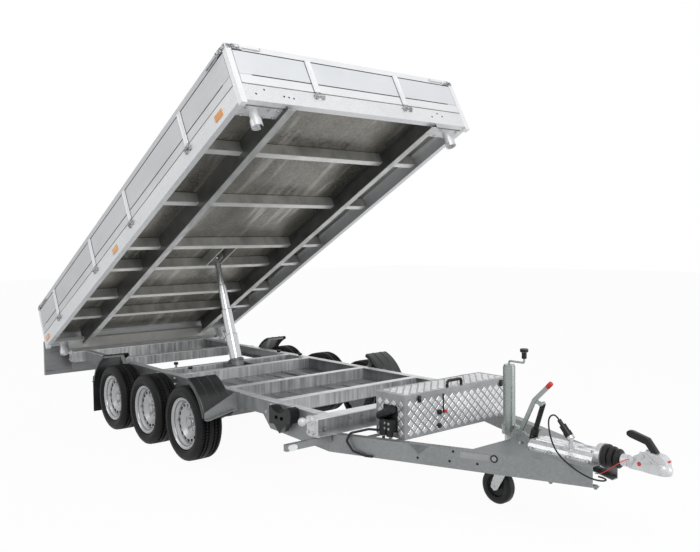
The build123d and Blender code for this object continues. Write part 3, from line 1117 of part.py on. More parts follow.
def main():
    save_wheels()
    save("axles", *[piece for _, x in AXLES for piece in axle(x)])
    save("side_rails", *side_rails())
    save("cross_members", *cross_members())
    save("ball_pivots", *ball_pivots())
    save("drawbar_beams", *drawbar_beams())
    save("nose_plate", nose_plate())
    save("overrun_housing", overrun_housing() + plug_holder())
    save("bellows", bellows())
    save("coupling_head", coupling_head())
    save("brake_lever", brake_lever())
    save("jack", jack())
    save("jack_fork", jack_fork())
    save("jockey_wheel", jockey_wheel())
    save("mudguards", *mudguards())
    save("mudguard_brackets", *mudguard_brackets())
    save("toolbox", toolbox())
    save("toolbox_lid", toolbox_lid())
    save("pump_unit", pump_unit())
    save("wheel_chock", wheel_chock())
    save("lamp_brackets", *lamp_brackets())
    save("lamps", *lamps())
    save("under_tray", under_tray())
    save("cylinder_cradle", *cylinder_cradle())
    save("bed_buffers", *bed_buffers())
    save("bed_frame", *place_on_bed(bed_frame()))
    save("bed_floor", *place_on_bed([bed_floor()]))
    save("bed_sub_rails", *place_on_bed(bed_sub_rails()))
    save("bed_bearers", *place_on_bed(bed_bearers()))
    save("corner_posts", *place_on_bed(corner_posts()))
    save("ball_sockets", *place_on_bed(ball_sockets()))
    save("cylinder_seat", *place_on_bed([cylinder_seat()]))
    save("side_reflectors", *place_on_bed(side_reflectors()))
    save("left_board", *place_on_bed([side_board()]))
    save("right_board", *place_on_bed([mirror(side_board(), about=Plane.XZ)]))
    save("front_board", *place_on_bed([front_board()]))
    save("tail_board", *place_on_bed([tail_board()]))
    save_cylinder()
    save("trailer_cable", cord(CABLE_ROUTE, CABLE_DIAMETER))
    save("trailer_plug", plug())
    save("breakaway_cable", cord(BREAKAWAY, BREAKAWAY_DIAMETER))


main()
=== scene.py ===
"""Looks of a three-axle tipping trailer with its bed raised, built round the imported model.

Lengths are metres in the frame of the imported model. Places that come from the model's own
plan are written in millimetres from the middle axle and pass through ``spot``.
"""
import logging
import math
from contextlib import contextmanager
from dataclasses import dataclass, field
from enum import Enum
from typing import Callable, Iterator, Sequence

import bmesh
import bpy
from mathutils import Matrix, Vector

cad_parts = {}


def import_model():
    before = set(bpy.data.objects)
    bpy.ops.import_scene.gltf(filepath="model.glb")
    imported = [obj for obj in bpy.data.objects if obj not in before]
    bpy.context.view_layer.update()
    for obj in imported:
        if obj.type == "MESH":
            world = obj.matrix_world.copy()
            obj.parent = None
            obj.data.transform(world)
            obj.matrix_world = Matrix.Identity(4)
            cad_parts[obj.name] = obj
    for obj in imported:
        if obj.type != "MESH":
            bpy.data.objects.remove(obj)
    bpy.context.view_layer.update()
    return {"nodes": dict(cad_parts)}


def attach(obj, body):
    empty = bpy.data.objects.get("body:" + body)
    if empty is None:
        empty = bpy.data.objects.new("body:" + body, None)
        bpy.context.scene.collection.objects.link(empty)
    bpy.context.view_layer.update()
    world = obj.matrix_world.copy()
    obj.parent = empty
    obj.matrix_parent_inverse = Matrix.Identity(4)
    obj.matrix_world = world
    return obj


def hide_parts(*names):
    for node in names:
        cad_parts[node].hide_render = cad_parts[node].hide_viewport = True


log = logging.getLogger("trailer")

Point = Sequence[float]
Socket = bpy.types.NodeSocket

# Plan of the trailer, millimetres: the same values as the model
ORIGIN_X = 799.0
TIP_ANGLE = math.radians(27.08)
REAR_BALL = (-1854.0, 506.0)
BED_PIVOT = (60.0, -96.0)
BED_LENGTH, BED_HALF = 3995.0, 997.5
AXLE_PITCH, TYRE_RADIUS, WHEEL_SPAN = 614.0, 266.0, 824.5
RAIL_OUTER = 673.0
PIVOTS_X = (-1854.0, 1971.0)
UP = Vector((0.0, 0.0, 1.0))


def spot(x: float, y: float, z: float) -> Vector:
    """Turn a place of the plan into the model's frame.

    Args:
        x: Millimetres ahead of the middle axle.
        y: Millimetres to the left of the middle line.
        z: Millimetres above the ground.

    Returns:
        The same place in metres.
    """
    return Vector((x - ORIGIN_X, y, z)) * 0.001


def bed_matrix() -> Matrix:
    """Give the matrix from bed metres (along, across, up) to the model's frame.

    Returns:
        The matrix of the raised bed.
    """
    turn = Matrix.Rotation(-TIP_ANGLE, 4, "Y")
    pivot = Matrix.Translation(spot(REAR_BALL[0], 0.0, REAR_BALL[1]))
    back = Matrix.Translation(Vector((-BED_PIVOT[0], 0.0, -BED_PIVOT[1])) * 0.001)
    return pivot @ turn @ back


def facing(place: Point, way: Point, turn: float = 0.0) -> Matrix:
    """Give a place whose own Z points a given way, turned round it by some degrees."""
    basis = Vector(way).to_track_quat("Z", "Y").to_matrix().to_4x4()
    return Matrix.Translation(Vector(place)) @ basis @ Matrix.Rotation(math.radians(turn), 4, "Z")


def upright(place: Point, out: Point, up: Point = UP, mirrored: bool = False) -> Matrix:
    """Give a place on a face: X along it, Y up it and Z out of it.

    Args:
        place: The point, metres.
        out: The way out of the face.
        up: The way up it.
        mirrored: True to turn X the other way.

    Returns:
        The matrix.
    """
    along = Vector(up).cross(Vector(out)) * (-1 if mirrored else 1)
    basis = Matrix((along, Vector(up), Vector(out))).transposed().to_4x4()
    return Matrix.Translation(Vector(place)) @ basis


class Side(Enum):
    """The two sides of the trailer, by the sign of their places across."""

    LEFT = 1
    RIGHT = -1


class Row(Enum):
    """The three axles, by their place ahead of the middle one in millimetres."""

    FRONT = AXLE_PITCH
    MIDDLE = 0.0
    REAR = -AXLE_PITCH


class Face(Enum):
    """Outer faces of the bed: the way out and a place on it, in bed metres."""

    RIGHT = ((0, -1, 0), (0, -BED_HALF * 0.001, 0))
    LEFT = ((0, 1, 0), (0, BED_HALF * 0.001, 0))
    FRONT = ((1, 0, 0), (BED_LENGTH * 0.001, 0, 0))

    def place(self, along: float, mirrored: bool = False) -> Matrix:
        """Give the place of a piece modelled flat: X along the face, Y up it, Z out of it.

        Args:
            along: Millimetres along the bed, or across it on the front face.
            mirrored: True to turn the piece's X the other way.

        Returns:
            The matrix to the model's frame.
        """
        out, base = (Vector(v) for v in self.value)
        across = Vector([abs(v) for v in UP.cross(out)])
        return bed_matrix() @ upright(base + across * along * 0.001, out, mirrored=mirrored)


# --------------------------------------------------------------------------- tools


class Bench:
    """Hand tools of the modelling bench: primitives, edit-mode steps and modifiers."""

    @staticmethod
    def rest() -> None:
        """Leave edit mode and deselect everything."""
        if bpy.context.mode != "OBJECT":
            bpy.ops.object.mode_set(mode="OBJECT")
        bpy.ops.object.select_all(action="DESELECT")

    @staticmethod
    def only(obj: bpy.types.Object) -> None:
        """Select one object alone and make it active.

        Args:
            obj: The object.
        """
        Bench.rest()
        obj.select_set(True)
        bpy.context.view_layer.objects.active = obj

    @staticmethod
    def settle(obj: bpy.types.Object, name: str) -> bpy.types.Object:
        """Put an object's place, turn and scale into its mesh, and name it.

        Args:
            obj: The object to settle.
            name: Its new name.

        Returns:
            The same object, at the origin, unturned and unscaled.
        """
        Bench.only(obj)
        bpy.ops.object.transform_apply(location=True, rotation=True, scale=True)
        obj.name = obj.data.name = name
        return obj

    @staticmethod
    @contextmanager
    def editing(obj: bpy.types.Object, mode: str = "FACE") -> Iterator[bpy.types.Object]:
        """Open a mesh in edit mode with everything selected, and close it afterwards.

        Args:
            obj: The mesh object.
            mode: VERT, EDGE or FACE.

        Yields:
            The object.
        """
        Bench.only(obj)
        bpy.ops.object.mode_set(mode="EDIT")
        bpy.ops.mesh.select_mode(type=mode)
        bpy.ops.mesh.select_all(action="SELECT")
        yield obj
        bpy.ops.object.mode_set(mode="OBJECT")

    @staticmethod
    def pick_faces(obj: bpy.types.Object, test: Callable[[Vector, Vector], bool]) -> None:
        """Select the faces of the open mesh whose centre and normal pass a test.

        Args:
            obj: The object in edit mode.
            test: Called with a face's centre and normal.
        """
        mesh = bmesh.from_edit_mesh(obj.data)
        for face in mesh.faces:
            face.select_set(test(face.calc_center_median(), face.normal))
        mesh.select_flush_mode()
        bmesh.update_edit_mesh(obj.data)

    @staticmethod
    def block(name: str, low: Point, high: Point) -> bpy.types.Object:
        """Add a block between two corners, metres.

        Args:
            name: The object's name.
            low: One corner.
            high: The opposite corner.

        Returns:
            The new object.
        """
        Bench.rest()
        a, b = Vector(low), Vector(high)
        bpy.ops.mesh.primitive_cube_add(size=1.0, location=(a + b) / 2)
        obj = bpy.context.active_object
        obj.scale = [abs(v) for v in b - a]
        return Bench.settle(obj, name)

    @staticmethod
    def bar(name: str, start: Point, end: Point, radius: float, sides: int = 24,
            tip: float | None = None) -> bpy.types.Object:
        """Add a closed round, or many-sided, bar between two points.

        Args:
            name: The object's name.
            start: Centre of the first end.
            end: Centre of the second end.
            radius: Radius at the first end.
            sides: How many sides it has.
            tip: Radius at the second end, or nothing for a straight bar.

        Returns:
            The new object.
        """
        Bench.rest()
        a, b = Vector(start), Vector(end)
        place = {"location": (a + b) / 2, "depth": (b - a).length, "vertices": sides,
                 "rotation": (b - a).to_track_quat("Z", "Y").to_euler()}
        if tip is None:
            bpy.ops.mesh.primitive_cylinder_add(radius=radius, **place)
        else:
            bpy.ops.mesh.primitive_cone_add(radius1=radius, radius2=tip, **place)
        return Bench.settle(bpy.context.active_object, name)

    @staticmethod
    @contextmanager
    def drawn(name: str, points: Sequence[Vector]) -> Iterator[bpy.types.Object]:
        """Draw a line of vertices through points, leave it open and selected, and close it.

        Args:
            name: The object's name.
            points: The points in order, metres.

        Yields:
            The object in edit mode.
        """
        Bench.rest()
        bpy.ops.mesh.primitive_plane_add(size=0.001)
        obj = bpy.context.active_object
        with Bench.editing(obj, "VERT"):
            bpy.ops.mesh.merge(type="CENTER")
            bpy.ops.transform.translate(value=points[0])
            for a, b in zip(points, points[1:]):
                bpy.ops.mesh.extrude_vertices_move(TRANSFORM_OT_translate={"value": b - a})
            bpy.ops.mesh.select_all(action="SELECT")
            yield obj
            bpy.ops.mesh.normals_make_consistent(inside=False)
        obj.name = obj.data.name = name

    @staticmethod
    def turned(name: str, profile: Sequence[tuple[float, float]], axis: str = "Y",
               steps: int = 64) -> bpy.types.Object:
        """Spin a profile round an axis through the origin, like work on a lathe.

        Args:
            name: The object's name.
            profile: Pairs of radius and place along the axis, metres.
            axis: X, Y or Z.
            steps: Steps of the full turn.

        Returns:
            The closed, outward-facing object.
        """
        along = {"X": Vector((1, 0, 0)), "Y": Vector((0, 1, 0)), "Z": Vector((0, 0, 1))}[axis]
        out = Vector((0, 0, 1)) if axis != "Z" else Vector((1, 0, 0))
        with Bench.drawn(name, [out * r + along * a for r, a in profile]) as obj:
            bpy.ops.mesh.spin(steps=steps, angle=math.tau, center=(0, 0, 0), axis=along)
            bpy.ops.mesh.select_all(action="SELECT")
            bpy.ops.mesh.remove_doubles(threshold=0.00002)
        return obj

    @staticmethod
    def plate(name: str, outline: Sequence[Point], push: Point) -> bpy.types.Object:
        """Fill a flat outline, metres, and pull it by a vector into a closed plate.

        Args:
            name: The object's name.
            outline: Corners in order, all in one plane.
            push: The way and thickness of the pull.

        Returns:
            The plate.
        """
        with Bench.drawn(name, [Vector(p) for p in outline]) as obj:
            bpy.ops.mesh.edge_face_add()
            bpy.ops.mesh.extrude_region_move(TRANSFORM_OT_translate={"value": Vector(push)})
            bpy.ops.mesh.select_all(action="SELECT")
        return obj

    @staticmethod
    def swept(name: str, route: Sequence[Point], radius: float, rounds: int = 3,
              steps: int = 6) -> bpy.types.Object:
        """Sweep a round section along a route as one smooth curve.

        Args:
            name: The object's name.
            route: Points of the route, metres.
            radius: Radius of the section.
            rounds: Fineness of the section.
            steps: Fineness along the route.

        Returns:
            The curve object.
        """
        curve = bpy.data.curves.new(name, "CURVE")
        curve.dimensions = "3D"
        curve.bevel_depth, curve.bevel_resolution, curve.resolution_u = radius, rounds, steps
        curve.use_fill_caps = True
        line = curve.splines.new("NURBS")
        line.points.add(len(route) - 1)
        for point, place in zip(line.points, route):
            point.co = (*place, 1.0)
        line.order_u = 3
        line.use_endpoint_u = True
        obj = bpy.data.objects.new(name, curve)
        bpy.context.scene.collection.objects.link(obj)
        return obj

    @staticmethod
    def pipe(name: str, route: Sequence[Point], radius: float) -> bpy.types.Object:
        """Bend a rigid round pipe along a route, as a mesh.

        Args:
            name: The object's name.
            route: Points of the route, metres.
            radius: Radius of the pipe.

        Returns:
            The pipe.
        """
        Bench.only(Bench.swept(name, route, radius))
        bpy.ops.object.convert(target="MESH")
        return Bench.settle(bpy.context.active_object, name)

    @staticmethod
    def modify(obj: bpy.types.Object, kind: str, **settings: object) -> bpy.types.Object:
        """Add one modifier with its settings and apply it.

        Args:
            obj: The mesh object.
            kind: The modifier's type, such as BEVEL.
            **settings: Its values.

        Returns:
            The same object.
        """
        Bench.only(obj)
        modifier = obj.modifiers.new(kind.title(), kind)
        for key, value in settings.items():
            setattr(modifier, key, value)
        bpy.ops.object.modifier_apply(modifier=modifier.name)
        return obj

    @staticmethod
    def soften(obj: bpy.types.Object, width: float, segments: int = 2) -> bpy.types.Object:
        """Round the sharp edges of a piece."""
        return Bench.modify(obj, "BEVEL", width=width, segments=segments, limit_method="ANGLE",
                            angle_limit=math.radians(35), harden_normals=False)

    @staticmethod
    def repeat(obj: bpy.types.Object, count: int, step: Point) -> bpy.types.Object:
        """Repeat a piece in a row with an array."""
        return Bench.modify(obj, "ARRAY", count=count, use_relative_offset=False,
                            use_constant_offset=True, constant_offset_displace=Vector(step))

    @staticmethod
    def copy(obj: bpy.types.Object, place: Matrix) -> bpy.types.Object:
        """Copy a piece with its own mesh, its new place put into that mesh.

        Args:
            obj: The piece to copy.
            place: Where the copy goes.

        Returns:
            The copy.
        """
        twin = obj.copy()
        twin.data = obj.data.copy()
        bpy.context.scene.collection.objects.link(twin)
        twin.data.transform(place)
        if place.determinant() < 0:
            twin.data.flip_normals()
        return twin

    @staticmethod
    def join(name: str, parts: Sequence[bpy.types.Object]) -> bpy.types.Object:
        """Join pieces into one object with a name.

        Args:
            name: The name of the whole.
            parts: The pieces.

        Returns:
            The joined object.
        """
        Bench.only(parts[0])
        for part in parts:
            part.select_set(True)
        if len(parts) > 1:
            bpy.ops.object.join()
        whole = bpy.context.active_object
        whole.name = whole.data.name = name
        return whole

    @staticmethod
    def scatter(name: str, model: bpy.types.Object, places: Sequence[Matrix]) -> bpy.types.Object:
        """Join copies of a model, made at the origin, at many places, using the model up.

        Args:
            name: The name of the whole.
            model: The piece to copy.
            places: One matrix for each copy.

        Returns:
            The joined copies.
        """
        copies = [Bench.copy(model, place) for place in places]
        bpy.data.objects.remove(model)
        return Bench.join(name, copies)

    @staticmethod
    def give(name: str, parts: Sequence[bpy.types.Object], finish: bpy.types.Material, slot: str,
             body: str = "chassis", angle: float = 35.0) -> bpy.types.Object:
        """Join parts into a finished piece, dress it and let it ride on its body.

        Args:
            name: The piece's name.
            parts: The meshes that it is joined from.
            finish: Its material.
            slot: Not used.
            body: The body it moves with.
            angle: Edges flatter than this many degrees are shaded smooth.

        Returns:
            The piece.
        """
        obj = Bench.join(name, parts)
        obj.data.materials.clear()
        obj.data.materials.append(finish)
        Bench.only(obj)
        bpy.ops.object.shade_smooth_by_angle(angle=math.radians(angle))
        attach(obj, body)
        log.info("%s rides on %s", obj.name, body)
        return obj


def slab(low: Point, high: Point) -> bpy.types.Object:
    """Add a block between two corners of the plan, in millimetres."""
    return Bench.block("slab", spot(*low), spot(*high))


def rod(start: Point, end: Point, radius: float, sides: int = 28,
        tip: float | None = None) -> bpy.types.Object:
    """Add a round bar between two places of the plan, all in millimetres."""
    return Bench.bar("rod", spot(*start), spot(*end), radius * 0.001, sides,
                     None if tip is None else tip * 0.001)


def hex_bolt(radius: float = 10.0, height: float = 7.5) -> bpy.types.Object:
    """Model a bolt's head on its washer, standing on Z.

    Args:
        radius: Radius over the head's corners, millimetres.
        height: Height of the head.

    Returns:
        The bolt at the origin.
    """
    r, h = radius * 0.001, height * 0.001
    washer = Bench.bar("washer", (0, 0, -0.0005), (0, 0, 0.0022), r * 1.28, 22)
    head = Bench.soften(Bench.bar("head", (0, 0, 0.002), (0, 0, 0.002 + h), r, 6), 0.0009)
    return Bench.join("bolt", [washer, head])


# --------------------------------------------------------------------------- finishes


class Wiring:
    """A material being wired: nodes are added one by one and joined to its surface."""

    def __init__(self, name: str) -> None:
        """Start a material with an empty surface.

        Args:
            name: The material's name.
        """
        self.material = bpy.data.materials.new(name)
        self.material.use_nodes = True
        self.tree = self.material.node_tree
        self.tree.nodes.clear()
        self.surface = self.tree.nodes.new("ShaderNodeBsdfPrincipled")
        self.output = self.tree.nodes.new("ShaderNodeOutputMaterial")
        self.tree.links.new(self.surface.outputs["BSDF"], self.output.inputs["Surface"])
        self.here = self.add("ShaderNodeTexCoord").outputs["Object"]

    def add(self, kind: str, inputs: dict[str | int, object] | None = None,
            **settings: object) -> bpy.types.Node:
        """Add a node.

        Args:
            kind: The node's type.
            inputs: Values or sockets for its inputs, by name or number.
            **settings: The node's own settings.

        Returns:
            The node.
        """
        node = self.tree.nodes.new(kind)
        for key, value in settings.items():
            setattr(node, key, value)
        for key, value in (inputs or {}).items():
            self.feed(node.inputs[key], value)
        return node

    def feed(self, socket: Socket, value: object) -> None:
        """Set a socket's value, or join another socket to it.

        Args:
            socket: The input.
            value: A value, or the output that feeds it.
        """
        if isinstance(value, bpy.types.NodeSocket):
            self.tree.links.new(value, socket)
        else:
            socket.default_value = value

    def mapped(self, stretch: Point = (1, 1, 1), turn: float = 0.0) -> Socket:
        """Give the piece's own coordinates, turned about Y and then stretched.

        Args:
            stretch: How many times each way is stretched.
            turn: The turn, radians.

        Returns:
            The socket of the coordinates.
        """
        turned = self.add("ShaderNodeMapping", {"Vector": self.here,
                                                "Rotation": (0.0, turn, 0.0)}).outputs[0]
        return self.add("ShaderNodeMapping", {"Vector": turned, "Scale": stretch}).outputs[0]

    def place(self, on_bed: bool = False) -> tuple[Socket, ...]:
        """Give the place as three numbers, metres.

        Args:
            on_bed: True for along, across and up the bed as it stands at rest.

        Returns:
            The three sockets.
        """
        where = self.here
        if on_bed:
            back = bed_matrix().inverted()
            where = self.add("ShaderNodeMapping", {"Vector": where, "Rotation": back.to_euler(),
                                                   "Location": back.to_translation()}).outputs[0]
        return tuple(self.add("ShaderNodeSeparateXYZ", {"Vector": where}).outputs)

    def count(self, first: object, sign: str, second: object) -> Socket:
        """Work out one sum, product or other value of two numbers."""
        return self.add("ShaderNodeMath", {0: first, 1: second}, operation=sign).outputs[0]

    def range(self, value: Socket, low: float, high: float, out_low: float = 0.0,
              out_high: float = 1.0) -> Socket:
        """Map a value from one range to another."""
        ends = {"From Min": low, "From Max": high, "To Min": out_low, "To Max": out_high}
        return self.add("ShaderNodeMapRange", {"Value": value, **ends}).outputs[0]

    def step(self, value: Socket, edge: float, blur: float = 0.0006) -> Socket:
        """Give 0 below an edge and 1 above it."""
        return self.range(value, edge - blur, edge + blur)

    def near(self, value: Socket, place: float, half: float, blur: float = 0.0012) -> Socket:
        """Give 1 within half a width of a place and 0 outside it."""
        off = self.count(self.count(value, "SUBTRACT", place), "ABSOLUTE", 0.0)
        return self.range(off, half - blur, half + blur, 1.0, 0.0)

    def noise(self, where: Socket, scale: float, detail: float) -> Socket:
        """Give a cloudy pattern from 0 to 1."""
        inputs = {"Vector": where, "Scale": scale, "Detail": detail}
        return self.add("ShaderNodeTexNoise", inputs).outputs[0]

    def cells(self, where: Socket, scale: float) -> Socket:
        """Give one random value for each cell of a crystal pattern."""
        tint = self.add("ShaderNodeTexVoronoi", {"Vector": where, "Scale": scale}).outputs["Color"]
        return self.add("ShaderNodeSeparateColor", {"Color": tint}).outputs[0]

    def prisms(self, scale: float) -> Socket:
        """Give the height of small prisms, such as those of a lamp's lens."""
        inputs = {"Vector": self.here, "Scale": scale}
        return self.add("ShaderNodeTexVoronoi", inputs).outputs["Distance"]

    def blend(self, share: object, first: object, second: object) -> Socket:
        """Mix two colours by a share."""
        inputs = {"Fac": share, "Color1": first, "Color2": second}
        return self.add("ShaderNodeMixRGB", inputs).outputs[0]

    def bump(self, height: Socket, strength: float, distance: float) -> None:
        """Raise the surface by a height pattern."""
        inputs = {"Height": height, "Strength": strength, "Distance": distance}
        self.feed(self.surface.inputs["Normal"], self.add("ShaderNodeBump", inputs).outputs[0])

    def finish(self, **values: object) -> bpy.types.Material:
        """Feed the surface its values and close the material.

        Args:
            **values: Values or sockets, named like the surface's inputs with _ for spaces.

        Returns:
            The material.
        """
        for key, value in values.items():
            self.feed(self.surface.inputs[key.replace("_", " ")], value)
        return self.material


def colour(value: Point, share: float = 1.0) -> tuple[float, float, float, float]:
    """Give a colour, or a darker share of it, with full cover."""
    return (value[0] * share, value[1] * share, value[2] * share, 1.0)


@dataclass(frozen=True)
class Galvanised:
    """Hot-dip zinc: a coat of crystals, each with its own grey and gloss."""

    name: str
    light: Point
    dark: Point
    crystal: float
    metal: float
    gloss: tuple[float, float]
    cloud: float
    relief: float
    turn: float = 0.0

    def make(self) -> bpy.types.Material:
        """Wire the material.

        Returns:
            The material.
        """
        w = Wiring(self.name)
        where = w.mapped(turn=self.turn)
        big, small = w.cells(where, 1.0 / self.crystal), w.cells(where, 2.3 / self.crystal)
        value = w.count(w.count(big, "MULTIPLY", 0.6), "ADD", w.count(small, "MULTIPLY", 0.4))
        clouds = w.range(w.noise(where, self.cloud, 4.0), 0.3, 0.7, -0.28, 0.28)
        tone = w.blend(w.count(value, "ADD", clouds), colour(self.dark), colour(self.light))
        w.bump(value, 0.25, self.relief)
        return w.finish(Base_Color=tone, Metallic=self.metal,
                        Roughness=w.range(value, 0.0, 1.0, *self.gloss))


@dataclass(frozen=True)
class Flanged:
    """A rolled section: webs with runs of zinc down them, a painted highlight on the flange at one
    height, and an optional painted shade line.
    """

    name: str
    light: Point
    dark: Point
    flange_highlight: Point
    edge: float
    stretch: Point
    below: bool = False
    on_bed: bool = False
    shade_line: float | None = None
    metal: float = 0.45
    gloss: tuple[float, float] = (0.28, 0.46)

    def make(self) -> bpy.types.Material:
        """Wire the material.

        Returns:
            The material.
        """
        w = Wiring(self.name)
        turn = TIP_ANGLE if self.on_bed else 0.0
        runs = w.noise(w.mapped(self.stretch, turn), 2.6, 4.0)
        clouds = w.noise(w.mapped(turn=turn), 2.4, 4.0)
        mixed = w.count(w.range(runs, 0.34, 0.66, 0.0, 0.6), "ADD",
                        w.range(clouds, 0.34, 0.66, 0.0, 0.4))
        web = w.blend(mixed, colour(self.dark), colour(self.light))
        # The flange tone is a painted highlight on the face that catches the light.
        painted_highlight = w.blend(w.range(runs, 0.3, 0.7, 0.0, 0.45), colour(self.flange_highlight),
                         colour(self.light))
        up = w.place(self.on_bed)[2]
        share = w.step(up, self.edge, 0.0008)
        body = w.blend(share, painted_highlight, web) if self.below else w.blend(share, web, painted_highlight)
        # A near-black line at one height paints the shadow in the gap above the piece.
        if self.shade_line is not None:
            body = w.blend(w.near(up, self.shade_line, 0.0022), body, colour(self.dark, 0.25))
        return w.finish(Base_Color=body, Metallic=self.metal,
                        Roughness=w.range(mixed, 0.0, 1.0, *self.gloss))


@dataclass(frozen=True)
class Brushed:
    """Rolled or drawn metal with fine lines along one way and soft smears."""

    name: str
    tone: Point
    worn: Point
    stretch: Point
    metal: float
    gloss: tuple[float, float]
    turn: float = 0.0
    relief: float = 0.00015

    def make(self) -> bpy.types.Material:
        """Wire the material.

        Returns:
            The material.
        """
        w = Wiring(self.name)
        lines = w.noise(w.mapped(self.stretch, self.turn), 3.0, 2.0)
        smears = w.noise(w.mapped(turn=self.turn), 3.2, 5.0)
        dull = w.count(w.range(lines, 0.3, 0.7, 0.0, 0.6), "ADD",
                       w.range(smears, 0.42, 0.72, 0.0, 0.7))
        w.bump(lines, 0.3, self.relief)
        return w.finish(Base_Color=w.blend(dull, colour(self.tone), colour(self.worn)),
                        Metallic=self.metal, Roughness=w.range(dull, 0.0, 1.2, *self.gloss))


@dataclass(frozen=True)
class BoardMetal:
    """Pale anodised board: panel, top strip and low strip, with painted shade in the grooves
    between them.
    """

    name: str
    panel: Point
    top: Point
    low: Point
    joint: Point = (0.05, 0.052, 0.055)
    across: bool = False
    metal: float = 0.22
    gloss: tuple[float, float] = (0.36, 0.50)
    joints_up: tuple[float, float] = (0.190, 0.366)
    groove_half: float = 0.0042

    def make(self) -> bpy.types.Material:
        """Wire the material.

        Returns:
            The material.
        """
        w = Wiring(self.name)
        along, side, up = w.place(on_bed=True)
        stretch = (90.0, 1.1, 90.0) if self.across else (1.1, 90.0, 90.0)
        lines = w.noise(w.mapped(stretch, TIP_ANGLE), 3.0, 2.0)
        smears = w.noise(w.mapped(turn=TIP_ANGLE), 2.6, 5.0)
        low_groove, top_groove = self.joints_up
        body = w.blend(w.step(up, low_groove), colour(self.low), colour(self.panel))
        body = w.blend(w.step(up, top_groove), body, colour(self.top))
        body = w.blend(w.range(smears, 0.35, 0.75, 0.0, 0.22), body, colour(self.panel, 0.62))
        body = w.blend(w.range(lines, 0.3, 0.7, 0.0, 0.10), body, (1.0, 1.0, 1.0, 1.0))
        # Both grooves get painted shade; the low one stops short of the board's ends
        place, middle, reach = (side, 0.0, 0.862) if self.across else (along, 1.9975, 1.862)
        low_groove_shade = w.count(w.near(up, low_groove, self.groove_half), "MULTIPLY",
                           w.near(place, middle, reach, 0.002))
        groove_shade_mask = w.count(w.near(up, top_groove, self.groove_half), "MAXIMUM", low_groove_shade)
        w.bump(lines, 0.2, 0.00012)
        return w.finish(Base_Color=w.blend(groove_shade_mask, body, colour(self.joint)), Metallic=self.metal,
                        Roughness=w.range(smears, 0.3, 0.75, *self.gloss))


@dataclass(frozen=True)
class Sheeting:
    """Sheet metal seen from below: painted glare in streaks along one way, cloudy gloss and fine
    hammering.
    """

    name: str
    dark: Point = (0.085, 0.080, 0.068)
    light: Point = (0.26, 0.246, 0.212)
    painted_glare: Point = (0.66, 0.65, 0.61)
    metal: float = 0.6
    gloss: tuple[float, float] = (0.20, 0.40)
    turn: float = TIP_ANGLE

    def make(self) -> bpy.types.Material:
        """Wire the material.

        Returns:
            The material.
        """
        w = Wiring(self.name)
        clouds = w.noise(w.mapped((0.9, 1.5, 1.0), self.turn), 1.7, 4.0)
        glare_streaks = w.noise(w.mapped((0.7, 5.0, 3.0), self.turn), 1.6, 3.0)
        hammer = w.cells(w.mapped(turn=self.turn), 62.0)
        body = w.blend(w.range(clouds, 0.32, 0.66), colour(self.dark), colour(self.light))
        # Streaks of painted glare: a reflection painted on the sheet.
        body = w.blend(w.range(glare_streaks, 0.54, 0.74, 0.0, 0.8), body, colour(self.painted_glare))
        # The hammer dents are real relief; lifting them toward the glare tone paints small glints.
        body = w.blend(w.range(hammer, 0.0, 1.0, 0.0, 0.16), body, colour(self.painted_glare))
        w.bump(w.count(w.count(hammer, "MULTIPLY", 0.35), "ADD", clouds), 0.3, 0.002)
        return w.finish(Base_Color=body, Metallic=self.metal,
                        Roughness=w.range(clouds, 0.3, 0.7, *self.gloss))


@dataclass(frozen=True)
class TwoPart:
    """Moulded lamps whose tone changes at one place along the trailer."""

    name: str
    before: Point
    after: Point
    edge: float = 0.0

    def make(self) -> bpy.types.Material:
        """Wire the material.

        Returns:
            The material.
        """
        w = Wiring(self.name)
        share = w.step(w.place()[0], self.edge)
        prisms = w.prisms(260.0)
        body = w.blend(share, colour(self.before), colour(self.after))
        deep = w.blend(share, colour(self.before, 0.5), colour(self.after, 0.72))
        w.bump(prisms, 0.3, 0.0005)
        return w.finish(Base_Color=w.blend(w.range(prisms, 0.1, 0.7, 0.0, 0.5), body, deep),
                        Roughness=0.14, Coat_Weight=0.5)


@dataclass(frozen=True)
class Moulded:
    """Rubber, plastic or paint: an even tone with fine grain and a little dust."""

    name: str
    tone: Point
    dusty: Point
    gloss: float
    grain: float = 240.0
    relief: float = 0.0003
    metal: float = 0.0
    coat: float = 0.0
    dust: float = 5.0
    shine: float = 0.5

    def make(self) -> bpy.types.Material:
        """Wire the material.

        Returns:
            The material.
        """
        w = Wiring(self.name)
        dust = w.noise(w.here, self.dust, 5.0)
        tone = w.blend(w.range(dust, 0.45, 0.75, 0.0, 0.8), colour(self.tone), colour(self.dusty))
        w.bump(w.noise(w.here, self.grain, 2.0), 0.35, self.relief)
        return w.finish(Base_Color=tone, Metallic=self.metal, Coat_Weight=self.coat,
                        Specular_IOR_Level=self.shine,
                        Roughness=w.range(dust, 0.3, 0.8, self.gloss - 0.06, self.gloss + 0.1))


@dataclass(frozen=True)
class Lens:
    """Coloured clear plastic over a pattern of small prisms."""

    name: str
    tone: Point
    deep: Point
    pitch: float = 0.004

    def make(self) -> bpy.types.Material:
        """Wire the material.

        Returns:
            The material.
        """
        w = Wiring(self.name)
        edge = w.prisms(1.0 / self.pitch)
        w.bump(edge, 0.4, 0.0006)
        return w.finish(Base_Color=w.blend(w.range(edge, 0.1, 0.7), colour(self.tone),
                                           colour(self.deep)), Roughness=0.12, Coat_Weight=0.6)


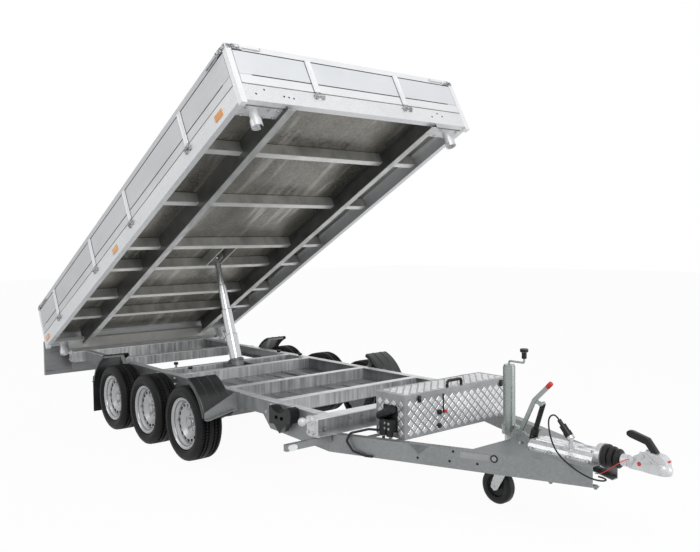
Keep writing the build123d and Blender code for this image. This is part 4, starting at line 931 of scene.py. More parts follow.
@dataclass
class Palette:
    """Every finish of the trailer, made once."""

    made: dict[str, bpy.types.Material] = field(default_factory=dict)

    FINISHES = (
        Galvanised("chassis_zinc", light=(0.285, 0.297, 0.30), dark=(0.22, 0.23, 0.234),
                   crystal=0.010, metal=0.45, gloss=(0.34, 0.50), cloud=3.0, relief=0.00015),
        # Flange tones are painted highlights on the faces that catch the light; the bearers' shade
        # line paints the shadow above them.
        Flanged("rail_zinc", light=(0.33, 0.342, 0.345), dark=(0.20, 0.21, 0.214),
                flange_highlight=(0.80, 0.81, 0.82), edge=0.5075, stretch=(9.0, 3.0, 2.0)),
        Flanged("cross_zinc", light=(0.70, 0.71, 0.715), dark=(0.27, 0.276, 0.28),
                flange_highlight=(0.86, 0.865, 0.87), edge=0.5075, stretch=(3.0, 17.0, 1.1)),
        Galvanised("frame_zinc", light=(0.80, 0.81, 0.82), dark=(0.68, 0.69, 0.70), crystal=0.009,
                   metal=0.25, gloss=(0.30, 0.46), cloud=2.2, relief=0.00008, turn=TIP_ANGLE),
        Flanged("bearer_zinc", light=(0.50, 0.498, 0.475), dark=(0.24, 0.238, 0.225),
                flange_highlight=(0.78, 0.78, 0.76), edge=0.0345, below=True, on_bed=True, shade_line=0.1135,
                stretch=(2.0, 3.5, 1.5)),
        # The sub rails' near-black web tones paint the shade on their outer webs.
        Flanged("sub_rail_zinc", light=(0.15, 0.155, 0.148), dark=(0.085, 0.09, 0.085),
                flange_highlight=(0.62, 0.625, 0.62), edge=-0.0255, below=True, on_bed=True,
                stretch=(3.0, 7.0, 4.0)),
        Galvanised("dull_zinc", light=(0.26, 0.27, 0.275), dark=(0.12, 0.125, 0.13),
                   crystal=0.014, metal=0.6, gloss=(0.34, 0.58), cloud=5.0, relief=0.0002),
        Galvanised("gusset_zinc", light=(0.19, 0.20, 0.204), dark=(0.13, 0.136, 0.14),
                   crystal=0.012, metal=0.5, gloss=(0.30, 0.50), cloud=5.0, relief=0.0002),
        Galvanised("bright_zinc", light=(0.60, 0.61, 0.62), dark=(0.50, 0.51, 0.52),
                   crystal=0.030, metal=0.55, gloss=(0.22, 0.32), cloud=7.0, relief=0.00002),
        Galvanised("jack_zinc", light=(0.34, 0.378, 0.362), dark=(0.295, 0.33, 0.315),
                   crystal=0.030, metal=0.6, gloss=(0.22, 0.30), cloud=5.0, relief=0.00001),
        Galvanised("iron_dark", light=(0.20, 0.205, 0.21), dark=(0.07, 0.072, 0.075),
                   crystal=0.006, metal=0.6, gloss=(0.34, 0.58), cloud=30.0, relief=0.0002),
        Galvanised("iron_mixed", light=(0.62, 0.625, 0.63), dark=(0.07, 0.072, 0.075),
                   crystal=0.009, metal=0.6, gloss=(0.26, 0.48), cloud=42.0, relief=0.0002),
        Galvanised("bolt_zinc", light=(0.66, 0.67, 0.675), dark=(0.40, 0.41, 0.415),
                   crystal=0.005, metal=0.7, gloss=(0.22, 0.40), cloud=9.0, relief=0.00005),
        Sheeting("floor_sheet"),
        Sheeting("tray_sheet", dark=(0.05, 0.052, 0.055), light=(0.22, 0.225, 0.23),
                 painted_glare=(0.5, 0.51, 0.52), turn=0.0),
        # The boards' dark groove tone is painted shade.
        BoardMetal("board_aluminium", panel=(0.60, 0.61, 0.625), top=(0.56, 0.57, 0.585),
                   low=(0.66, 0.67, 0.68)),
        BoardMetal("end_board_aluminium", panel=(0.74, 0.755, 0.775), top=(0.86, 0.865, 0.87),
                   low=(0.82, 0.83, 0.84), across=True),
        Brushed("strap_white", tone=(0.90, 0.905, 0.91), worn=(0.80, 0.805, 0.81),
                stretch=(9.0, 9.0, 60.0), metal=0.15, gloss=(0.34, 0.46), turn=TIP_ANGLE),
        Brushed("plate_ground", tone=(0.37, 0.375, 0.38), worn=(0.26, 0.265, 0.27),
                stretch=(7, 7, 7), metal=0.5, gloss=(0.26, 0.42)),
        Brushed("plate_lozenge", tone=(0.76, 0.765, 0.77), worn=(0.60, 0.605, 0.61),
                stretch=(9, 9, 9), metal=0.5, gloss=(0.22, 0.36)),
        Moulded("hard_chrome", (0.62, 0.63, 0.64), (0.48, 0.49, 0.50), gloss=0.15, metal=0.8,
                grain=30.0, relief=0.00001, dust=2.5),
        Moulded("tyre_rubber", (0.010, 0.010, 0.0105), (0.024, 0.0235, 0.023), gloss=0.52,
                relief=0.0005, shine=0.16),
        Moulded("soft_rubber", (0.014, 0.014, 0.015), (0.034, 0.034, 0.034), gloss=0.46,
                shine=0.25),
        Moulded("guard_plastic", (0.022, 0.023, 0.024), (0.050, 0.051, 0.053), gloss=0.28,
                grain=420.0, relief=0.00012, shine=0.4),
        Moulded("black_plastic", (0.010, 0.010, 0.011), (0.026, 0.026, 0.026), gloss=0.30,
                grain=420.0, shine=0.28),
        Moulded("rim_silver", (0.42, 0.43, 0.44), (0.31, 0.318, 0.325), gloss=0.30, metal=0.6,
                coat=0.2, grain=700.0, relief=0.00004),
        Moulded("signal_red", (0.62, 0.03, 0.025), (0.45, 0.03, 0.03), gloss=0.35, grain=300.0,
                relief=0.0001),
        Moulded("cast_white", (0.68, 0.685, 0.69), (0.52, 0.525, 0.53), gloss=0.32, metal=0.25,
                grain=260.0, relief=0.0001),
        Moulded("blank_plate", (0.34, 0.345, 0.35), (0.25, 0.255, 0.26), gloss=0.30, metal=0.6,
                grain=600.0, relief=0.00003),
        Lens("amber_lens", (0.90, 0.42, 0.05), (0.70, 0.24, 0.015)),
        TwoPart("lamp_shells", (0.58, 0.02, 0.02), (0.88, 0.89, 0.90)),
    )

    def make_all(self) -> None:
        """Make every finish."""
        for finish in self.FINISHES:
            self.made[finish.name] = finish.make()
            log.info("finish %s", finish.name)

    def __getitem__(self, name: str) -> bpy.types.Material:
        """Give a finish by name."""
        return self.made[name]


# Finish of each node of the model; the tyres and rims are given theirs by name
FINISH_NODES = {
    "rail_zinc": ("side_rails",),
    "cross_zinc": ("cross_members",),
    "chassis_zinc": ("drawbar_beams", "nose_plate", "mudguard_brackets", "lamp_brackets",
                     "tail_board"),
    "dull_zinc": ("axles", "cylinder_cradle", "cylinder_barrel"),
    "bright_zinc": ("overrun_housing", "jack_fork"),
    "jack_zinc": ("brake_lever", "jack"),
    "bolt_zinc": ("bed_buffers",),
    "cast_white": ("ball_pivots", "coupling_head", "ball_sockets"),
    "soft_rubber": ("jockey_wheel", "bellows", "trailer_cable"),
    "guard_plastic": ("mudguards",),
    "black_plastic": ("pump_unit", "wheel_chock", "trailer_plug"),
    "plate_ground": ("toolbox", "toolbox_lid"),
    "lamp_shells": ("lamps",),
    "tray_sheet": ("under_tray",),
    "frame_zinc": ("bed_frame",),
    "floor_sheet": ("bed_floor",),
    "sub_rail_zinc": ("bed_sub_rails",),
    "bearer_zinc": ("bed_bearers", "cylinder_seat"),
    "strap_white": ("corner_posts",),
    "amber_lens": ("side_reflectors",),
    "board_aluminium": ("left_board", "right_board"),
    "end_board_aluminium": ("front_board",),
    "hard_chrome": ("cylinder_stage_1", "cylinder_stage_2", "cylinder_stage_3",
                    "cylinder_stage_4"),
    "signal_red": ("breakaway_cable",),
}


def dress_nodes(nodes: dict[str, bpy.types.Object], finishes: Palette) -> None:
    """Give every node of the model its finish.

    Args:
        nodes: The nodes by name.
        finishes: The palette.
    """
    chosen = {node: finish for finish, names in FINISH_NODES.items() for node in names}
    for name, obj in nodes.items():
        wheel = "tyre_rubber" if name.startswith("tyre_") else "rim_silver"
        obj.data.materials.clear()
        obj.data.materials.append(finishes[chosen.get(name, wheel)])
        Bench.only(obj)
        bpy.ops.object.shade_smooth_by_angle(angle=math.radians(28))


# --------------------------------------------------------------------------- wheels


@dataclass
class RoadWheels:
    """Six tyres with cut treads, and their slotted rims with nuts and caps."""

    finishes: Palette
    steps: int = 72
    width: float = 0.195
    nut_circle: float = 0.056
    nut_face: float = 0.018
    nuts: int = 5
    slots: int = 16
    slot_circle: float = 0.126
    slot_size: tuple[float, float] = (0.0225, 0.0360)

    def tyre(self) -> bpy.types.Object:
        """Model one tyre about the Y axis, at the origin.

        Returns:
            The tyre.
        """
        r, half = TYRE_RADIUS * 0.001, self.width / 2
        # Columns: radius, place in from the side
        right = [(0.1845, 0.0295), (0.1885, 0.0235), (0.190, 0.0165), (0.196, 0.0095),
                 (0.204, 0.0035), (0.2045, 0.0025), (0.2065, 0.0025), (0.207, 0.0012),
                 (0.218, 0.0), (0.229, 0.0006), (0.2295, -0.0004), (0.232, -0.0004),
                 (0.2325, 0.0012), (0.243, 0.0045), (0.249, 0.009), (0.255, 0.0125),
                 (0.2605, 0.0185), (r - 0.0012, 0.030), (r - 0.0012, 0.0445), (r - 0.008, 0.046),
                 (r - 0.008, 0.051), (r - 0.0003, 0.0525), (r, 0.0735), (r - 0.008, 0.075),
                 (r - 0.008, 0.081), (r, 0.0825)]
        right = [(radius, half - inwards) for radius, inwards in right]
        left = [(radius, -along) for radius, along in reversed(right)]
        seat = [(0.170, -half + 0.0295), (0.170, half - 0.0295)]
        obj = Bench.turned("tyre", right + left + seat + [right[0]], "Y", self.steps)

        def tread_block(centre: Vector, normal: Vector) -> bool:
            """Tell whether a face is the top of a tread block."""
            return math.hypot(centre.x, centre.z) > r - 0.003 and abs(centre.y) > 0.018

        with Bench.editing(obj):
            Bench.pick_faces(obj, tread_block)
            bpy.ops.mesh.inset(thickness=0.0021, depth=-0.0052, use_individual=True)
            bpy.ops.mesh.inset(thickness=0.0016, depth=0.0050, use_individual=True)
        return obj

    def rim(self) -> bpy.types.Object:
        """Model one steel rim at the origin about the Y axis, outer side towards +Y.

        Returns:
            The rim, its slots cut.
        """
        half, lip, seat, well, wall, disc = 0.078, 0.183, 0.166, 0.150, 0.004, 0.036
        hole, cap = self.slot_circle, 0.032
        outline = [
            (lip, half), (lip, half - 0.005), (seat, half - 0.009), (seat - 0.001, 0.054),
            (well, 0.042), (well, -0.022), (seat - 0.001, -0.044), (seat, -half + 0.009),
            (lip, -half + 0.005), (lip, -half), (lip - wall, -half), (seat - wall, -half + 0.014),
            (seat - wall, -0.042), (well - wall, -0.024), (well - wall, disc - 0.008),
            (hole + 0.012, disc - 0.002), (hole - 0.012, disc - 0.002), (0.084, disc - 0.024),
            (cap, disc - 0.024), (cap, disc - 0.030), (0.0, disc - 0.030), (0.0, disc + 0.004),
            (cap - 0.012, disc + 0.004), (cap - 0.004, disc + 0.002), (cap, disc - 0.004),
            (cap, disc - 0.018), (0.070, disc - 0.018), (0.078, disc - 0.0175),
            (0.086, disc - 0.013), (hole - 0.016, disc + 0.0015), (hole - 0.012, disc + 0.004),
            (hole + 0.012, disc + 0.004), (hole + 0.017, disc + 0.0025), (well - wall, disc),
            (well - wall, 0.040), (well - wall + 0.003, 0.045), (seat - wall - 0.003, 0.053),
            (seat - wall, 0.057), (seat - wall, half - 0.015), (seat - wall + 0.002, half - 0.010),
            (lip - wall - 0.006, half - 0.007), (lip - wall - 0.001, half - 0.002),
            (lip - 0.002, half + 0.0006), (lip, half)]
        obj = Bench.turned("rim", outline, "Y", 96)
        slot = Bench.bar("slot", (0, 0.0, 0), (0, 0.060, 0), 0.5, 28)
        slot.data.transform(Matrix.Diagonal((self.slot_size[0], 1.0, self.slot_size[1], 1.0)))
        slot.data.transform(Matrix.Translation((hole, 0.0, 0.0)))
        places = [Matrix.Rotation(math.tau * i / self.slots, 4, "Y") for i in range(self.slots)]
        cutters = Bench.scatter("slots", slot, places)
        Bench.modify(obj, "BOOLEAN", operation="DIFFERENCE", object=cutters, solver="EXACT")
        bpy.data.objects.remove(cutters)
        return obj

    def trim(self) -> bpy.types.Object:
        """Model the nuts, hub cap ring and valve of one rim, outer side towards +Y.

        Returns:
            The trim at the origin.
        """
        nut = Bench.soften(Bench.bar("nut", (0, 0, 0), (0, 0, 0.015), 0.0105, 6), 0.0012)
        seat = Bench.bar("seat", (0, 0, -0.001), (0, 0, 0.003), 0.0135, 20, 0.0115)
        dome = Bench.bar("dome", (0, 0, 0.0145), (0, 0, 0.0185), 0.007, 16, 0.0045)
        places = []
        for i in range(self.nuts):
            a = math.tau * i / self.nuts + 0.3
            places.append(facing((self.nut_circle * math.cos(a), self.nut_face,
                                  self.nut_circle * math.sin(a)), (0, 1, 0), 12.0 * i))
        nuts = Bench.scatter("nuts", Bench.join("nut", [nut, seat, dome]), places)
        ring = Bench.turned("ring", [(0.0325, 0.016), (0.0345, 0.0185), (0.0345, 0.024),
                                     (0.033, 0.026), (0.0325, 0.024), (0.0325, 0.016)], "Y", 40)
        valve = Bench.bar("valve", (0.139, 0.033, 0.0), (0.133, 0.064, 0.0), 0.0042, 12, 0.0036)
        return Bench.join("wheel_trim", [nuts, ring, valve])

    def build(self) -> None:
        """Make one wheel's pieces and copy them to all six."""
        # Columns: new piece, model, finish, slot, angle, node it replaces
        kinds = (("road_tyre", self.tyre(), "tyre_rubber", "tyre_rubber", 28, "tyre"),
                 ("road_rim", self.rim(), "rim_silver", "silver_rim", 28, "rim"),
                 ("wheel_trim", self.trim(), "bright_zinc", "zinc_plated", 35, None))
        for row in Row:
            for side in Side:
                where = f"{row.name}_{side.name}".lower()
                turn = Matrix.Rotation(0.0 if side is Side.LEFT else math.pi, 4, "Z")
                place = Matrix.Translation(spot(row.value, side.value * WHEEL_SPAN,
                                                TYRE_RADIUS)) @ turn
                for kind, model, finish, slot, angle, node in kinds:
                    piece = Bench.give(f"{kind}_{where}", [Bench.copy(model, place)],
                                       self.finishes[finish], slot, f"wheel_{where}", angle)
                    if node:
                        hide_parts(f"{node}_{where}")
        for _, model, *_ in kinds:
            bpy.data.objects.remove(model)


# --------------------------------------------------------------------------- bed hardware


@dataclass
class BedHardware:
    """Straps, hinge irons, corner latches and bolts of the bed, sizes in metres.

    Each piece is modelled flat: X along the board, Y up it and Z out of it. The places along
    the bed are millimetres.
    """

    finishes: Palette
    side_straps: Sequence[float] = (505.0, 1500.0, 2290.0, 3310.0)
    end_straps: Sequence[float] = (-390.0, 390.0)
    side_ends: tuple[float, float] = (45.0, 3950.0)
    front_ends: tuple[float, float] = (-952.5, 952.5)
    strap_half: float = 0.022
    strap_top: float = 0.3695
    strap_foot: float = 0.122
    hinge_up: float = 0.095
    hinge_out: float = 0.0105
    latch_up: float = 0.390

    def strap(self) -> bpy.types.Object:
        """Model one strap: a channel with raised rims and rivets.

        Returns:
            The strap.
        """
        obj = Bench.block("strap", (-self.strap_half, self.strap_foot, 0.0),
                          (self.strap_half, self.strap_top, 0.009))
        with Bench.editing(obj):
            Bench.pick_faces(obj, lambda centre, normal: normal.z > 0.9)
            bpy.ops.mesh.inset(thickness=0.0055, depth=0.0)
            bpy.ops.mesh.inset(thickness=0.0016, depth=-0.0028)
        Bench.soften(obj, 0.0010)
        rivets = [Bench.bar("rivet", (0, up, 0.0055), (0, up, 0.0082), 0.0052, 16, 0.0040)
                  for up in (0.140, 0.215, 0.290, 0.350)]
        return Bench.join("strap", [obj, *rivets])

    def backing(self) -> bpy.types.Object:
        """Model the dark sheet under a strap, which paints the shade gap round its edges."""
        return Bench.block("backing", (-self.strap_half - 0.003, self.strap_foot - 0.0002, 0.0),
                           (self.strap_half + 0.003, self.strap_top + 0.002, 0.0024))

    def eye(self) -> bpy.types.Object:
        """Model the strap's own knuckle and the neck above it.

        Returns:
            The knuckle and neck.
        """
        up, out = self.hinge_up, self.hinge_out
        barrel = Bench.bar("eye", (-0.0116, up, out), (0.0116, up, out), 0.0090, 24)
        neck = Bench.block("neck", (-0.0116, up, 0.0014), (0.0116, 0.1222, 0.0070))
        return Bench.join("eye", [barrel, neck])

    def cheeks(self) -> bpy.types.Object:
        """Model the frame's two knuckles with the pin's ends and a spring clip.

        Returns:
            The hinge iron.
        """
        up, out = self.hinge_up, self.hinge_out
        parts = []
        for way in (1, -1):
            parts.append(Bench.bar("barrel", (way * 0.0124, up, out), (way * 0.0350, up, out),
                                   0.0094, 24))
            foot = Bench.block("foot", (way * 0.0124, 0.070, 0.0), (way * 0.0370, up, 0.0124))
            parts.append(Bench.soften(foot, 0.0012))
            parts.append(Bench.bar("pin", (way * 0.0345, up, out), (way * 0.0420, up, out),
                                   0.0056, 18))
        clip = Bench.pipe("clip", [(0.0405, up + 0.006, out), (0.0425, up + 0.001, out + 0.007),
                                   (0.0415, up - 0.014, out + 0.003),
                                   (0.0405, up - 0.024, out - 0.002)], 0.0015)
        return Bench.join("cheeks", [*parts, clip])

    def latch(self) -> bpy.types.Object:
        """Model a corner latch's case with its bolts, from the board's end inwards.

        Returns:
            The latch.
        """
        case = Bench.block("case", (-0.0012, 0.3705, 0.0002), (0.0540, 0.4035, 0.0088))
        Bench.soften(case, 0.0022, 3)
        bolts = Bench.scatter("bolts", hex_bolt(4.2, 3.0),
                              [Matrix.Translation((x, y, 0.0086)) for x in (0.008, 0.028)
                               for y in (0.3775, 0.3965)])
        return Bench.join("latch", [case, bolts])

    def lever(self) -> bpy.types.Object:
        """Model a corner latch's thin lever with its pin and knob.

        Returns:
            The lever.
        """
        up = self.latch_up
        # Columns: place along, half width
        edge = ((0.030, 0.006), (0.070, 0.005), (0.203, 0.004))
        outline = [(x, up - half, 0.0066) for x, half in edge]
        outline += [(x, up + half, 0.0066) for x, half in reversed(edge)]
        lever = Bench.soften(Bench.plate("lever", outline, (0, 0, 0.0050)), 0.0016, 3)
        pin = Bench.bar("pin", (0.046, up, 0.004), (0.046, up, 0.0160), 0.0085, 28)
        knob = Bench.bar("knob", (0.200, up, 0.0015), (0.200, up, 0.0140), 0.0078, 24)
        return Bench.join("lever", [lever, *(Bench.soften(end, 0.0015) for end in (pin, knob))])

    def hook(self) -> bpy.types.Object:
        """Model the keeper on the corner post that a latch closes on.

        Returns:
            The keeper.
        """
        base = Bench.block("base", (-0.0385, 0.374, 0.0), (-0.0075, 0.401, 0.0045))
        nose = Bench.block("nose", (-0.0230, 0.380, 0.0035), (-0.0075, 0.395, 0.0100))
        return Bench.soften(Bench.join("hook", [base, nose]), 0.0012)

    def spread(self, name: str, model: bpy.types.Object, places: Sequence[Matrix], finish: str,
               slot: str, body: str) -> None:
        """Set copies of a flat piece on the bed's faces and hand them over as one piece.

        Args:
            name: The piece's name.
            model: The flat piece at the origin.
            places: One matrix for each copy.
            finish: Its finish.
            slot: Its material slot.
            body: The body it rides on.
        """
        copies = [Bench.copy(model, place) for place in places]
        Bench.give(name, copies, self.finishes[finish], slot, body)

    def build(self) -> None:
        """Make every piece once and set it on each board and on the frame."""
        models = {"strap": self.strap(), "backing": self.backing(), "eye": self.eye(),
                  "cheeks": self.cheeks(), "latch": self.latch(), "lever": self.lever(),
                  "hook": self.hook()}
        faces = {Face.RIGHT: ("right_board", self.side_straps, self.side_ends),
                 Face.LEFT: ("left_board", self.side_straps, self.side_ends),
                 Face.FRONT: ("front_board", self.end_straps, self.front_ends)}
        irons, corners = [], []
        for face, (body, straps, ends) in faces.items():
            at = [face.place(along) for along in straps]
            # A piece's X points inwards from each end, so one of the two is a mirror image
            near_mirror = face is Face.LEFT
            ends_at = [face.place(ends[0], near_mirror), face.place(ends[1], not near_mirror)]
            # Columns: last part of the name, model, places, finish, slot
            for tail, model, places, finish, slot in (
                    ("straps", "strap", at, "strap_white", "aluminium"),
                    # Dark sheets under the straps paint the shade gap round their edges.
                    ("strap_sheets", "backing", at, "iron_dark", "dark_sheet"),
                    ("eyes", "eye", at, "iron_mixed", "zinc_plated"),
                    ("latches", "latch", ends_at, "iron_mixed", "zinc_plated"),
                    ("levers", "lever", ends_at, "bolt_zinc", "zinc_plated")):
                self.spread(f"{body}_{tail}", models[model], places, finish, slot, body)
            irons += at
            corners += ends_at
        self.spread("bed_hinge_irons", models["cheeks"], irons, "iron_mixed", "zinc_plated", "bed")
        self.spread("bed_latch_hooks", models["hook"], corners, "iron_mixed", "zinc_plated", "bed")
        for model in models.values():
            bpy.data.objects.remove(model)
        self.frame_marks()

    def frame_marks(self) -> None:
        """Make dark discs that paint the shade in the drilled holes of the front profile, and the
        bolts of the front cups.
        """
        spots = ((-877, 51), (-808, 89), (-671, 56), (-635, 54), (-598, 51), (629, 54), (698, 88),
                 (740, 67))
        hole = Bench.bar("hole", (0, 0, -0.0004), (0, 0, 0.0004), 0.0068, 20)
        places = [Face.FRONT.place(across) @ Matrix.Translation((0.0, up * 0.001, 0.0))
                  for across, up in spots]
        Bench.give("frame_holes", [Bench.scatter("holes", hole, places)],
                   self.finishes["soft_rubber"], "black_rubber", "bed")
        under = bed_matrix()
        places = [under @ facing((along * 0.001, side * across * 0.001, -0.0002), -UP, 14.0)
                  for along in (3850, 3920) for side in (1, -1) for across in (690, 760, 925)]
        Bench.give("cup_bolts", [Bench.scatter("bolts", hex_bolt(), places)],
                   self.finishes["bolt_zinc"], "zinc_plated", "bed")


# --------------------------------------------------------------------------- tipping gear


@dataclass
class TippingGear:
    """Gland rings on the barrel and stages of the tipping cylinder."""

    finishes: Palette
    trunnion: Point = (-114.0, 0.0, 450.0)
    way: Point = (-0.331366414, 0.0, 0.943502146)
    barrel_top: float = 101.0
    # Columns: radius, shown length
    stages: Sequence[tuple[float, float]] = ((52.0, 217.0), (44.0, 219.0), (36.5, 220.0),
                                             (28.5, 196.0))

    def ring(self, name: str, at: float, inner: float, outer: float, height: float, slot: str,
             body: str) -> None:
        """Turn one ring whose top lies at a place up the cylinder.

        Args:
            name: Its name.
            at: Millimetres up from the trunnion.
            inner: Radius of its bore.
            outer: Radius outside.
            height: Its height.
            slot: Its material slot.
            body: The body it rides on.
        """
        r0, r1, h = inner * 0.001, outer * 0.001, height * 0.001
        profile = [(r0, -0.002), (r0, 0.0003), (r1 - 0.003, 0.0003), (r1, -0.0022),
                   (r1, -h + 0.0022), (r1 - 0.003, -h), (r1 - 0.0062, -h), (r1 - 0.0062, -0.002),
                   (r0, -0.002)]
        obj = Bench.turned(name, profile, "Z", 56)
        top = spot(*(Vector(self.trunnion) + Vector(self.way) * at))
        obj.data.transform(facing(top, self.way))
        Bench.give(name, [obj], self.finishes["iron_dark"], slot, body)

    def build(self) -> None:
        """Ring the barrel and the first three stages."""
        top = self.barrel_top
        self.ring("barrel_gland", top, self.stages[0][0] + 0.9, 65.0, 24.0, "dark_sheet",
                  "cylinder_barrel")
        for i, (radius, shown) in enumerate(self.stages[:-1], start=1):
            top += shown
            self.ring(f"stage_{i}_gland", top, self.stages[i][0] + 0.9, radius + 1.0, 6.5,
                      "zinc_plated", f"cylinder_stage_{i}")


# --------------------------------------------------------------------------- chassis fittings


@dataclass
class Toolbox:
    """Tread plate, lock and latches of the toolbox, sizes in millimetres."""

    finishes: Palette
    pitch_across: float = 58.0
    pitch_up: float = 54.5
    share: float = 0.77
    proud: float = 1.2
    front: float = 2400.0
    rear: float = 2160.0
    half: float = 453.0
    middle_up: float = 525.0
    wall_high: float = 224.0
    lid_top: float = 663.5

    def lozenge(self) -> bpy.types.Object:
        """Model one raised lozenge lying in XY, its long corner along X.

        Returns:
            The lozenge.
        """
        obj = Bench.bar("lozenge", (0, 0, -0.0004), (0, 0, self.proud * 0.001), 0.5, 4, 0.455)
        reach = max(abs(v.co.x) for v in obj.data.vertices)
        if reach < 0.4:
            obj.data.transform(Matrix.Rotation(math.radians(45), 4, "Z"))
            reach = max(abs(v.co.x) for v in obj.data.vertices)
        scale = self.share * 0.001 / (2 * reach)
        obj.data.transform(Matrix.Diagonal((self.pitch_across * scale, self.pitch_up * scale,
                                            1.0, 1.0)))
        return obj

    def pattern(self, name: str, model: bpy.types.Object, wide: float, high: float, place: Matrix,
                body: str) -> None:
        """Cover a face with staggered lozenges, whole ones only.

        Args:
            name: The pattern's name.
            model: One lozenge.
            wide: Width of the face, millimetres.
            high: Its height.
            place: From the face's own middle, X across, Y up and Z out, to the model's frame.
            body: The body it rides on.
        """
        a, b = self.pitch_across, self.pitch_up
        sets = []
        for shift in (0.0, 0.5):
            across = int((wide - 8 - a * shift * 2) // a)
            up = int((high - 6 - b * shift * 2) // b)
            start = (-(across - 1) * a * 0.0005, -(up - 1) * b * 0.0005, 0.0)
            obj = Bench.copy(model, Matrix.Translation(start))
            Bench.repeat(obj, across, (a * 0.001, 0, 0))
            Bench.repeat(obj, up, (0, b * 0.001, 0))
            sets.append(obj)
        whole = Bench.join(name, sets)
        whole.data.transform(place)
        Bench.give(name, [whole], self.finishes["plate_lozenge"], "checker_plate", body, 20)

    def build(self) -> None:
        """Cover the box's four walls and its lid, then add the lock and the latches."""
        model = self.lozenge()
        z, wide, deep = self.middle_up, 2 * self.half, self.front - self.rear
        along = (self.front + self.rear) / 2
        walls = [("box_front_plate", wide, (self.front, 0.0, z), (1, 0, 0)),
                 ("box_rear_plate", wide, (self.rear, 0.0, z), (-1, 0, 0))]
        for side in Side:
            walls.append((f"box_end_plate_{side.name.lower()}", deep,
                          (along, side.value * self.half, z), (0, side.value, 0)))
        for name, width, middle, out in walls:
            self.pattern(name, model, width, self.wall_high, upright(spot(*middle), out),
                         "chassis")
        lid = upright(spot(along + 1.0, 0.0, self.lid_top), UP, (-1, 0, 0))
        self.pattern("box_lid_plate", model, wide + 6.0, deep, lid, "toolbox_lid")
        bpy.data.objects.remove(model)
        self.fittings()

    def fittings(self) -> None:
        """Add the lid's grip cover, the lock with its strap and the two latches."""
        grip = Bench.pipe("lid_grip", [spot(2376, y, z) for y, z in (
            (-78, 664), (-78, 690), (-70, 699.5), (-50, 699.5), (18, 699.5), (38, 699.5),
            (46, 690), (46, 664))], 0.0092)
        black = self.finishes["black_plastic"]
        Bench.give("lid_grip", [grip], black, "black_plastic", "toolbox_lid")
        strap = slab((2399.8, -143, 520), (2402.6, -133, 636))
        socket = Bench.soften(rod((2399, -176, 452), (2412, -176, 452), 15.0), 0.002)
        lock = Bench.soften(rod((2399, -176, 532), (2417, -176, 532), 15.0), 0.003, 3)
        latches = [Bench.soften(slab((2404.8, y - 11, 612), (2413, y + 11, 652)), 0.002)
                   for y in (-342, 384)]
        feet = [slab((2399.5, y - 9, 612), (2405.5, y + 9, 632)) for y in (-342, 384)]
        Bench.give("box_lock", [strap, socket, lock, *latches, *feet], black, "black_plastic")
        red = Bench.soften(slab((2399.8, -132, 522), (2409, -110, 538)), 0.002)
        Bench.give("box_red_mark", [red], self.finishes["signal_red"], "red_lens")


